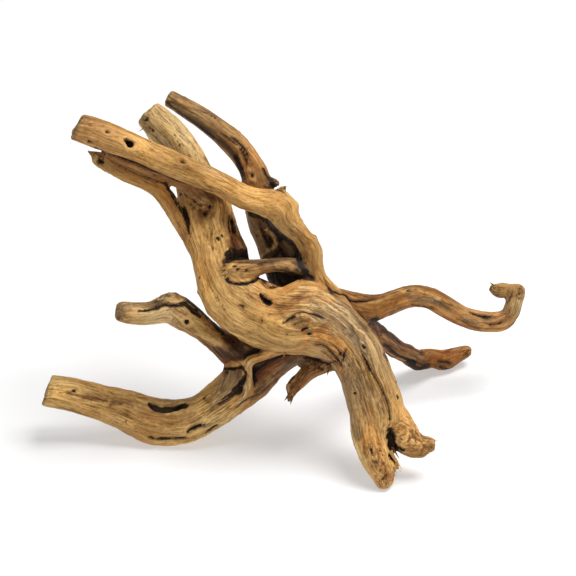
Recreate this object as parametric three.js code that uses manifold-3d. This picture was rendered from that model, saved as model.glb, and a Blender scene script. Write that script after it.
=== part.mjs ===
import * as THREE from 'three';
import { LoftGeometry } from 'three/addons/geometries/LoftGeometry.js';
import { mergeVertices } from 'three/addons/utils/BufferGeometryUtils.js';
import Module from 'manifold-3d';

// Spiderwood root: one grown piece of wood that stands on three low points.
// Millimetres, +Z up, the front foot towards -Y, the floor at z = 0.

const wasm = await Module();
wasm.setup();

// Driving dimensions.
const VIEW_TILT = THREE.MathUtils.degToRad(32);
const VIEW_DISTANCE = 2000;
const FOOT_WEAR = 1.2;
const BEVEL = 1.6;
const FLOOR_BOX = 1200;
const GIRTH_TENSION = 0.5;
const WELD_DISTANCE = 1e-4;

// Limb routes, from the free end to where the limb is grown in.
// Each station is across, up, back, half width and half depth, measured as the root is seen from the
// front and above: VIEW_DISTANCE before the front toe, looking down by VIEW_TILT.
const UPPER_ARM = [
  [-211, 161.2, -62, 12.6, 12],
  [-196, 156.2, -58, 14.2, 13],
  [-178.5, 150.6, -53, 14.5, 13],
  [-152, 140.3, -46, 13, 13],
  [-126, 128, -40, 13.3, 13],
  [-100.5, 117.5, -34, 12.6, 13],
  [-71.5, 105.5, -27, 12, 14],
  [-44.5, 91.5, -18, 12, 14],
  [-27, 87, -10, 12.6, 15],
  [-7.5, 81, -3, 17.6, 17],
  [0.5, 67, 3, 13.8, 17],
  [12.5, 53, 8, 10, 16],
  [22.5, 38, 12, 12.2, 16],
  [24.5, 23, 15, 11.6, 16],
  [30, 9, 18, 10, 16],
  [42, -8, 22, 12.5, 16],
];

const STEM = [
  [-140.5, 175.5, 6, 15, 13],
  [-120, 154.5, 7, 18, 15.5],
  [-103, 131, 8, 19, 16],
  [-91.5, 106, 7, 20, 17],
  [-85, 83, 5, 24, 18],
  [-82.5, 62, 3, 23, 19],
  [-77.5, 41, 1, 22, 20],
  [-72, 20, -1, 23.5, 21],
  [-57, -9, -3, 31.5, 23],
  [-16, -32, -4, 33.5, 25],
  [28, -36, -2, 34, 26],
  [64, -60, 2, 28, 24],
  [80, -93, 4, 27, 22],
  [89.5, -124, 3, 28, 19],
  [92, -146, 2, 19, 14],
  [93, -160, 1, 9, 8],
];

const LEFT_TOE = [
  [98.5, -200.5, 0, 4.5, 5],
  [97, -196, 0, 8.5, 7],
  [94, -183, 0, 14, 11],
  [87, -163, 1, 18, 14],
  [81.5, -142, 2, 20, 16],
  [80, -122, 3, 18, 14],
  [79, -100, 4, 10, 9],
];

const TOE_SPLINTER = [
  [112.5, -185, -1, 1.3, 1.5],
  [109.5, -176, 0, 2.6, 2.5],
  [105, -166, 1, 3.4, 4],
  [99, -152, 2, 5, 5],
];

const RIGHT_TOE = [
  [147, -157, 4, 5.5, 6],
  [140, -156.5, 4, 8.8, 8],
  [132, -158, 4, 13.2, 10.5],
  [120, -153, 4, 16.2, 13],
  [108.5, -136, 4, 16.2, 15],
  [97, -112, 4, 13, 12],
  [88, -94, 4, 8, 8],
];

const BACK_LIMB = [
  [-121, 190, 50, 9, 9],
  [-97.6, 177, 48, 10.4, 10],
  [-82, 167.5, 46, 10.8, 10.5],
  [-66, 155.5, 44, 11.8, 11],
  [-49.5, 140, 43, 13, 12],
  [-40, 127, 43, 13, 12],
  [-33, 114, 43, 14.3, 13],
  [-28.5, 99, 43, 14.5, 13],
  [-28, 81, 42, 16, 13],
  [-24.5, 63, 41, 15.5, 13],
  [-14, 48, 40, 20, 14],
  [-5, 30, 38, 24, 15],
  [-1, 13, 34, 20, 16],
  [8, -6, 28, 19, 16],
];

const SPLIT_STRIP = [
  [-195, 133.5, -40, 2.5, 2],
  [-190, 128, -38, 6.6, 3.5],
  [-176, 121.5, -34, 8, 4.5],
  [-161, 113.5, -29, 8.2, 5],
  [-144.5, 106.5, -24, 8.2, 5.5],
  [-129, 98, -19, 9, 6],
  [-118.5, 86, -14, 9.5, 6],
  [-110.5, 69, -10, 7.6, 6],
  [-104, 55, -6, 5.6, 6],
  [-97, 40, -2, 4.6, 6],
  [-88, 26, 2, 5, 5],
];

const SPLIT_PRONG = [
  [-201, 137.5, -42, 1.2, 1.5],
  [-196, 134, -41, 3, 2.5],
  [-187, 129, -38, 4.5, 3.5],
];

const WEB = [
  [-187, 137.5, -44, 2.5, 3],
  [-168, 131, -38, 7, 5],
  [-143, 121, -30, 9.5, 6],
  [-118, 112.5, -22, 9, 7],
  [-98, 102, -14, 9, 8],
  [-83, 88, -6, 9, 9],
];

const SLIT_RIB = [
  [-61, 88, 12, 3, 5],
  [-58, 66, 13, 6, 9],
  [-54, 50, 13, 7.5, 11],
  [-51, 38, 13, 11, 13],
  [-50, 24, 12, 12, 14],
];

const CROSS_TWIG = [
  [-64, 16, -19, 3.5, 4],
  [-59, 18.5, -18, 7.5, 6],
  [-52, 19, -16, 9.5, 7],
  [-40, 19.5, -13, 9.5, 7.5],
  [-28, 21, -9, 7.8, 7],
  [-14, 23, -4, 6.6, 7.5],
  [2, 21.5, 2, 8.8, 9],
  [18, 17, 10, 11, 12],
];

const RIGHT_LIMB = [
  [224, -27, 118, 7.5, 8],
  [214, -33, 118, 10.2, 10],
  [202, -34.1, 115, 10.4, 10.5],
  [186.5, -31.8, 110, 11, 11],
  [170, -25.5, 104, 11, 11],
  [156, -17.8, 98, 11.3, 11],
  [140, -9.9, 90, 11.2, 11.5],
  [125, -7.6, 80, 11.1, 12],
  [111.5, -11.4, 70, 11, 12.5],
  [96.5, -17.2, 58, 11.8, 13.5],
  [80, -21, 45, 14.5, 15],
  [47, -14, 25, 14, 16],
];

const HOOK_POST = [
  [228, 4.2, 110, 4.5, 5],
  [228, 0.5, 110, 9.3, 7.5],
  [227.5, -5, 112, 10.4, 8.5],
  [226, -14, 114, 8.6, 9],
  [222.5, -25, 117, 9, 9],
  [217, -32, 118, 7.5, 8],
];

const HOOK_TIP = [
  [202.5, 1.8, 126, 2.8, 3],
  [207, -1.4, 123, 6, 5.5],
  [212, -2.2, 120, 8, 6.5],
  [219, -2.5, 116, 7.5, 7],
  [228, -3, 112, 7, 7],
];

const LOWER_RIGHT_LIMB = [
  [183, -64.5, 183, 4, 4.5],
  [179, -64, 183, 6.8, 6.5],
  [170, -67, 181, 8, 8.2],
  [156, -72.7, 177, 10.9, 10.7],
  [143, -70.5, 170, 9.6, 11],
  [130, -72, 158, 11.4, 12.5],
  [119, -65.8, 141, 9.4, 12],
  [107, -60, 120, 9.6, 12],
  [96, -51.5, 99, 10.2, 13],
  [78, -38, 68, 10.5, 14],
  [62, -34, 38, 13, 16],
  [50, -38, 12, 9, 10],
];

const LEFT_LIMB = [
  [-168.5, -24, -22, 10, 9],
  [-164, -24.4, -18, 11, 10.5],
  [-151, -25.4, -10, 12, 11.5],
  [-136, -24.4, -1, 12.2, 12],
  [-126, -21.8, 5, 14.4, 14],
  [-117, -20.3, 9, 16.8, 15.5],
  [-102, -28.6, 14, 16, 15.5],
  [-88.5, -38, 20, 13.2, 14],
  [-74.5, -48.5, 24, 11.4, 14],
  [-58, -62, 28, 15.5, 16],
  [-42, -70, 30, 15, 17],
  [-22, -68, 30, 11, 14],
];

const LOWER_LEFT_LIMB = [
  [-241.5, -103, 45, 15.8, 14],
  [-220, -106, 48, 16.2, 14.5],
  [-201, -110.8, 52, 16.8, 15],
  [-181.5, -116.2, 56, 17.7, 16],
  [-162, -121.8, 59, 19.9, 18],
  [-143, -129.3, 62, 21.4, 19.5],
  [-124.5, -133.3, 63, 22.8, 21],
  [-106, -133.3, 61, 22.4, 21],
  [-86, -127, 55, 21, 20],
  [-70.5, -116.8, 50, 21.4, 20],
  [-53, -102, 45, 22.8, 21],
  [-34, -89.5, 42, 21.6, 21],
  [-17, -74.5, 38, 19, 20],
  [5, -61.5, 30, 15.5, 18],
  [26, -50, 14, 14, 14],
];

const HANGING_SPLINTER = [
  [1, -114, 6, 1.8, 2],
  [3, -106, 7, 4.6, 3],
  [7, -98, 8, 7.6, 4],
  [13, -91, 9, 8.6, 5],
  [20, -84, 10, 8.6, 6],
  [32, -76, 12, 10, 8],
  [42, -68, 14, 10, 8],
];

const SPLINTER_PRONG = [
  [-2, -101.5, 5, 1.5, 1.5],
  [1.5, -97, 6, 3.4, 2.5],
  [8, -91, 8, 5, 4],
];

const BROKEN_BLOCK = [
  [10, -64, 22, 8, 9],
  [18, -70, 18, 11, 10],
  [30, -73, 15, 12, 10],
  [44, -70, 13, 12, 12],
];

const BROKEN_KNOB = [
  [-76, -116, 26, 2, 2.5],
  [-66, -106, 19, 7, 5],
  [-58, -94, 16, 11, 7],
  [-55, -83, 19, 10.5, 8],
  [-50, -70, 26, 9, 9],
];

const HEART = [
  [-66, -54, 22, 4, 4],
  [-50, -58, 29, 20, 18],
  [-20, -52, 31, 27, 25],
  [14, -42, 29, 27, 26],
  [44, -30, 28, 22, 22],
  [66, -24, 36, 12, 14],
  [84, -22, 48, 4, 5],
];

const LEDGE = [
  [-37, 18, 8, 5, 7],
  [-33, 6, 3, 5.5, 9],
  [-27, -4, -1, 4.8, 10],
  [-18, -7.5, -3, 4.6, 10],
  [-7, -6, -3, 5.2, 10],
  [7, 0, 0, 6, 10],
  [18, 2.5, 4, 6, 10],
  [30, -1.5, 8, 6.8, 10],
  [44, -8, 13, 7.5, 10],
  [58, -22, 8, 8, 10],
  [66, -38, 2, 6, 6],
];

const AMBER_STRAND = [
  [-1, -62, 0, 4, 5],
  [-26, -68, 4, 5, 6],
  [-39, -74, 6, 6, 7],
  [-41, -84, 12, 5.5, 7],
  [-40, -97, 19, 5, 6],
  [-45, -110, 26, 3.5, 5],
];

const SHOULDER_NUB = [
  [-1.5, 101, -8, 1.9, 2],
  [-5, 99.5, -7, 3.6, 3.3],
  [-11, 94, -5, 6, 5],
];

const CHARRED_KNOT = [
  [-9, 103, 36, 2.5, 3],
  [-14, 105, 38, 5.5, 6],
  [-24, 105, 42, 9, 9],
];

// Routes of the deep splits and hollows, with stations as for a limb.
const ROOT_HOLLOW = [
  [-146, -113, 48, 1, 3],
  [-138, -116, 45, 3, 7],
  [-122, -120, 43, 4, 9],
  [-108, -118.5, 43, 3.4, 8],
  [-99, -115, 45, 1, 3],
];

const TOE_FISSURE = [
  [92, -100, -17, 0.5, 2],
  [98, -112, -15, 0.9, 5],
  [102, -127, -12, 1.6, 8],
  [100, -142, -8, 2.2, 10],
  [103, -162, -4, 2.6, 12],
];

const LEDGE_GROOVE = [
  [-28, -7, -24, 0.8, 2],
  [-22.5, -12.5, -26, 3.2, 9],
  [-15, -16.5, -27, 2.4, 5],
  [-6, -17, -26, 0.8, 2],
];

const TRUNK_SLOT = [
  [-58, 84, 12, 0.8, 4],
  [-57, 70, 9, 2, 9],
  [-54.5, 58, 7, 2.4, 10],
  [-52, 46, 6, 1, 5],
];

const EYE_HOLE = [
  [-162.5, 144.6, -60, 0.8, 2],
  [-158.6, 142.7, -59, 2.8, 6],
  [-154.5, 141, -57, 0.8, 2],
];

// The limbs, with the number of facets round and along each one. A sawn end has a bevelled rim and
// may slant across the limb, and a broken one tapers off. The flutes are the lengthwise swellings:
// count round the limb, height as a share of the radius, turns along the limb, and where they start.
const LIMBS = [
  {
    route: UPPER_ARM, sides: 14, steps: 32, end: 'sawn', slant: 0.16,
    flutes: [[2, 0.05, 0.3, 0], [5, 0.035, 0.5, 1]],
  },
  { route: SHOULDER_NUB, sides: 8, steps: 4, end: 'broken', flutes: [[3, 0.08, 0, 0]] },
  { route: STEM, sides: 18, steps: 36, end: 'sawn', flutes: [[3, 0.035, 0.4, 2], [7, 0.025, 0.35, 0]] },
  { route: LEFT_TOE, sides: 14, steps: 12, end: 'broken', flutes: [[3, 0.04, 0.2, 1], [6, 0.04, 0, 0]] },
  { route: TOE_SPLINTER, sides: 8, steps: 5, end: 'broken', flutes: [[3, 0.08, 0, 0]] },
  { route: RIGHT_TOE, sides: 14, steps: 10, end: 'broken', flutes: [[3, 0.05, 0.2, 0]] },
  { route: BACK_LIMB, sides: 12, steps: 26, end: 'sawn', flutes: [[3, 0.05, 0.5, 0], [5, 0.04, 0.4, 2]] },
  { route: CHARRED_KNOT, sides: 8, steps: 5, end: 'broken', flutes: [[3, 0.07, 0, 0]] },
  { route: SPLIT_STRIP, sides: 10, steps: 20, end: 'broken', flutes: [[4, 0.06, 0.3, 0]] },
  { route: SPLIT_PRONG, sides: 8, steps: 4, end: 'broken', flutes: [[3, 0.08, 0, 0]] },
  { route: WEB, sides: 10, steps: 8, end: 'broken', flutes: [[4, 0.06, 0.3, 1]] },
  { route: SLIT_RIB, sides: 10, steps: 8, end: 'broken', flutes: [[3, 0.05, 0.2, 0]] },
  { route: CROSS_TWIG, sides: 12, steps: 14, end: 'broken', flutes: [[3, 0.07, 0.4, 0]] },
  { route: RIGHT_LIMB, sides: 12, steps: 28, end: 'broken', flutes: [[2, 0.04, 0.6, 0], [5, 0.04, 0.5, 1]] },
  { route: HOOK_POST, sides: 12, steps: 9, end: 'broken', flutes: [[3, 0.04, 0, 0]] },
  { route: HOOK_TIP, sides: 10, steps: 6, end: 'broken', flutes: [[3, 0.04, 0, 1]] },
  { route: LOWER_RIGHT_LIMB, sides: 12, steps: 24, end: 'broken', flutes: [[3, 0.06, 0.6, 0]] },
  { route: LEFT_LIMB, sides: 12, steps: 22, end: 'sawn', flutes: [[3, 0.05, 0.5, 0], [5, 0.04, 0.4, 1]] },
  {
    route: LOWER_LEFT_LIMB, sides: 16, steps: 28, end: 'sawn', slant: 0.16,
    flutes: [[3, 0.04, 0.4, 0], [6, 0.03, 0.4, 1]],
  },
  { route: HANGING_SPLINTER, sides: 8, steps: 10, end: 'broken', flutes: [[4, 0.08, 0.3, 0]] },
  { route: SPLINTER_PRONG, sides: 8, steps: 4, end: 'broken', flutes: [[3, 0.08, 0, 0]] },
  { route: BROKEN_BLOCK, sides: 10, steps: 4, end: 'broken', flutes: [[4, 0.07, 0, 0]] },
  { route: BROKEN_KNOB, sides: 10, steps: 9, end: 'broken', flutes: [[3, 0.06, 0.3, 0]] },
  { route: HEART, sides: 12, steps: 8, end: 'broken', flutes: [[3, 0.05, 0.2, 0]] },
  { route: LEDGE, sides: 10, steps: 18, end: 'broken', flutes: [[3, 0.06, 0.4, 0]] },
  { route: AMBER_STRAND, sides: 8, steps: 11, end: 'broken', flutes: [[3, 0.06, 0.4, 0]] },
];

// The deep splits and hollows that are cut out of the wood, plain inside.
const SPLITS = [
  { route: ROOT_HOLLOW, sides: 8, steps: 8, end: 'broken', flutes: [] },
  { route: TOE_FISSURE, sides: 6, steps: 10, end: 'broken', flutes: [] },
  { route: LEDGE_GROOVE, sides: 6, steps: 12, end: 'broken', flutes: [] },
  { route: TRUNK_SLOT, sides: 6, steps: 6, end: 'broken', flutes: [] },
  { route: EYE_HOLE, sides: 8, steps: 4, end: 'broken', flutes: [] },
];

// The real size of a length seen at a station: what lies further back is larger than it looks.
function seen(size, back) {
  return size * (VIEW_DISTANCE + back) / VIEW_DISTANCE;
}

// One limb as sections lofted along its route.
function limb({ route, sides, steps, end, slant = 0, flutes }) {
  const axis = new THREE.CatmullRomCurve3(
    route.map(([across, up, back]) => new THREE.Vector3(seen(across, back), back, seen(up, back))),
  );
  const girth = new THREE.CatmullRomCurve3(
    route.map(([, , back, width, depth]) => new THREE.Vector3(seen(width, back), seen(depth, back), 0)),
    false,
    'catmullrom',
    GIRTH_TENSION,
  );
  const sight = new THREE.Vector3(0, 1, 0);
  const section = (t, shrink, lean = 0) => {
    const centre = axis.getPoint(t);
    const along = axis.getTangent(t);
    const side = new THREE.Vector3().crossVectors(along, sight).normalize();
    const front = new THREE.Vector3().crossVectors(along, side);
    const { x: width, y: depth } = girth.getPoint(t);
    return Array.from({ length: sides }, (_, i) => {
      const angle = i / sides * 2 * Math.PI;
      let swell = shrink;
      for (const [count, share, turns, start] of flutes) {
        swell += share * Math.cos(count * (angle + turns * 2 * Math.PI * t) + start);
      }
      return centre.clone()
        .addScaledVector(side, width * swell * Math.cos(angle))
        .addScaledVector(front, depth * swell * Math.sin(angle))
        .addScaledVector(along, width * lean * Math.cos(angle));
    });
  };
  const length = axis.getLength();
  const sections = [];
  if (end === 'sawn') {
    sections.push(section(0, 1 - BEVEL / route[0][3], slant), section(BEVEL / length, 1, slant));
  } else {
    sections.push(section(0, 1));
  }
  for (let i = 1; i <= steps; i++) {
    sections.push(section(i / steps, 1));
  }
  return new LoftGeometry(sections, { capStart: true, capEnd: true });
}

// A closed geometry as a solid that can be joined and cut.
function solid(geometry) {
  const plain = new THREE.BufferGeometry();
  plain.setAttribute('position', geometry.getAttribute('position'));
  plain.setIndex(geometry.getIndex());
  const merged = mergeVertices(plain, WELD_DISTANCE);
  return new wasm.Manifold(new wasm.Mesh({
    numProp: 3,
    vertProperties: merged.attributes.position.array,
    triVerts: new Uint32Array(merged.index.array),
  }));
}

// A solid as a geometry with flat faces.
function geometryOf(body) {
  const mesh = body.getMesh();
  const geometry = new THREE.BufferGeometry();
  geometry.setAttribute('position', new THREE.BufferAttribute(mesh.vertProperties, 3));
  geometry.setIndex(new THREE.BufferAttribute(mesh.triVerts, 1));
  return geometry;
}

// All limbs are one body, stood upright and worn flat where it touches the floor.
const limbs = wasm.Manifold.union(LIMBS.map((each) => solid(limb(each))));
const splits = wasm.Manifold.union(SPLITS.map((each) => solid(limb(each))));
const grown = geometryOf(limbs.subtract(splits));
grown.rotateX(-VIEW_TILT);
grown.computeBoundingBox();
const floor = new THREE.BoxGeometry(FLOOR_BOX, FLOOR_BOX, FLOOR_BOX);
floor.translate(0, 0, grown.boundingBox.min.z + FOOT_WEAR - FLOOR_BOX / 2);
const root = geometryOf(solid(grown).subtract(solid(floor)));
root.computeBoundingBox();
const { min, max } = root.boundingBox;
root.translate(-(min.x + max.x) / 2, -(min.y + max.y) / 2, -min.z);

const wood = new THREE.MeshStandardMaterial({
  name: 'wood',
  color: 0xa2794a,
  roughness: 0.78,
  metalness: 0,
});
const part = new THREE.Group();
const mesh = new THREE.Mesh(root.toNonIndexed(), wood);
mesh.name = 'spiderwood_root';
mesh.geometry.computeVertexNormals();
part.add(mesh);

export default part;
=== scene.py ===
import itertools
import math

import bpy
import numpy as np
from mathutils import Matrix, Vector
from mathutils.bvhtree import BVHTree


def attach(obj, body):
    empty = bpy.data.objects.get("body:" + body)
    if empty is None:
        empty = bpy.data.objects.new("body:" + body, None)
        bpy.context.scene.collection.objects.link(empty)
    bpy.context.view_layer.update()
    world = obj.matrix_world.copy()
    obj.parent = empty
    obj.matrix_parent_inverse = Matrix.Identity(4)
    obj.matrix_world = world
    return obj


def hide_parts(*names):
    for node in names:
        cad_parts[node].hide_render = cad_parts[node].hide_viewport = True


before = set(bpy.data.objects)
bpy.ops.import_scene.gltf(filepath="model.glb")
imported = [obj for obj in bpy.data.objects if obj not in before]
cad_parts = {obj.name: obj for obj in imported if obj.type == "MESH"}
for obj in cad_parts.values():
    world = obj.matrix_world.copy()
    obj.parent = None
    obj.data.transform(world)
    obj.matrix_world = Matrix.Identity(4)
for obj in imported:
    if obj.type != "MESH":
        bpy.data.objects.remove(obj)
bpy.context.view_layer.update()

# The camera stands two metres before the front toe and looks down on the root by 32 degrees.
# One pixel of its picture is one millimetre at the plane through the toe, so marks on the wood are
# placed by where they show in that picture, and lie on whatever surface is there.
VIEW_DISTANCE = 2000
VIEW_TILT = math.radians(32)
VIEW_POINT = np.array((0.0, -21.18, 171.71))
PICTURE_MIDDLE = 288
LENS = 125
SENSOR = 36
FAR_CLIP = 20
RIGHT = np.array((1.0, 0.0, 0.0))
UPWARD = np.array((0.0, math.sin(VIEW_TILT), math.cos(VIEW_TILT)))
INWARD = np.array((0.0, math.cos(VIEW_TILT), -math.sin(VIEW_TILT)))
MILLIMETRE = 0.001
eye = VIEW_POINT - VIEW_DISTANCE * INWARD

view = bpy.data.cameras.new("view")
view.lens = LENS
view.sensor_width = SENSOR
view.clip_end = FAR_CLIP
camera = bpy.data.objects.new("camera", view)
camera.location = Vector(eye * MILLIMETRE)
camera.rotation_euler = (math.pi / 2 - VIEW_TILT, 0, 0)
bpy.context.scene.collection.objects.link(camera)
bpy.context.scene.camera = camera


# The limbs: each is a run of grown wood whose grain follows its middle line, from its free end to
# where it is grown in. A station is across, up and back as the camera sees it, half width and half
# depth, in millimetres. The colours are of the dry wood at even steps from end to end; on the web
# and at the left limb's root they also hold painted shadow of the wood above them.
def seen(across, up, back):
    """The place, in the part's millimetres, of a spot that the camera sees there and so far back."""
    reach = (VIEW_DISTANCE + back) / VIEW_DISTANCE
    return VIEW_POINT + across * reach * RIGHT + up * reach * UPWARD + back * INWARD



def linear(red, green, blue):
    """A colour given in bytes of sRGB, as the linear shares that a shader takes."""
    shares = np.array((red, green, blue)) / 255
    return np.where(shares <= 0.04045, shares / 12.92, ((shares + 0.055) / 1.055) ** 2.4)


STRAW = linear(218, 180, 116)
WHEAT = linear(206, 162, 98)
TAN = linear(196, 152, 90)
HONEY = linear(182, 130, 68)
NUT = linear(160, 112, 62)
BROWN = linear(146, 100, 56)
UMBER = linear(98, 62, 34)
DRIFT = linear(186, 150, 102)
EARTH = linear(70, 46, 30)
SOOT = linear(54, 38, 26)
OLIVE = linear(128, 96, 58)
PALE = linear(206, 176, 124)
LEATHER = linear(146, 97, 43)
CHESTNUT = linear(136, 82, 30)

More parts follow.
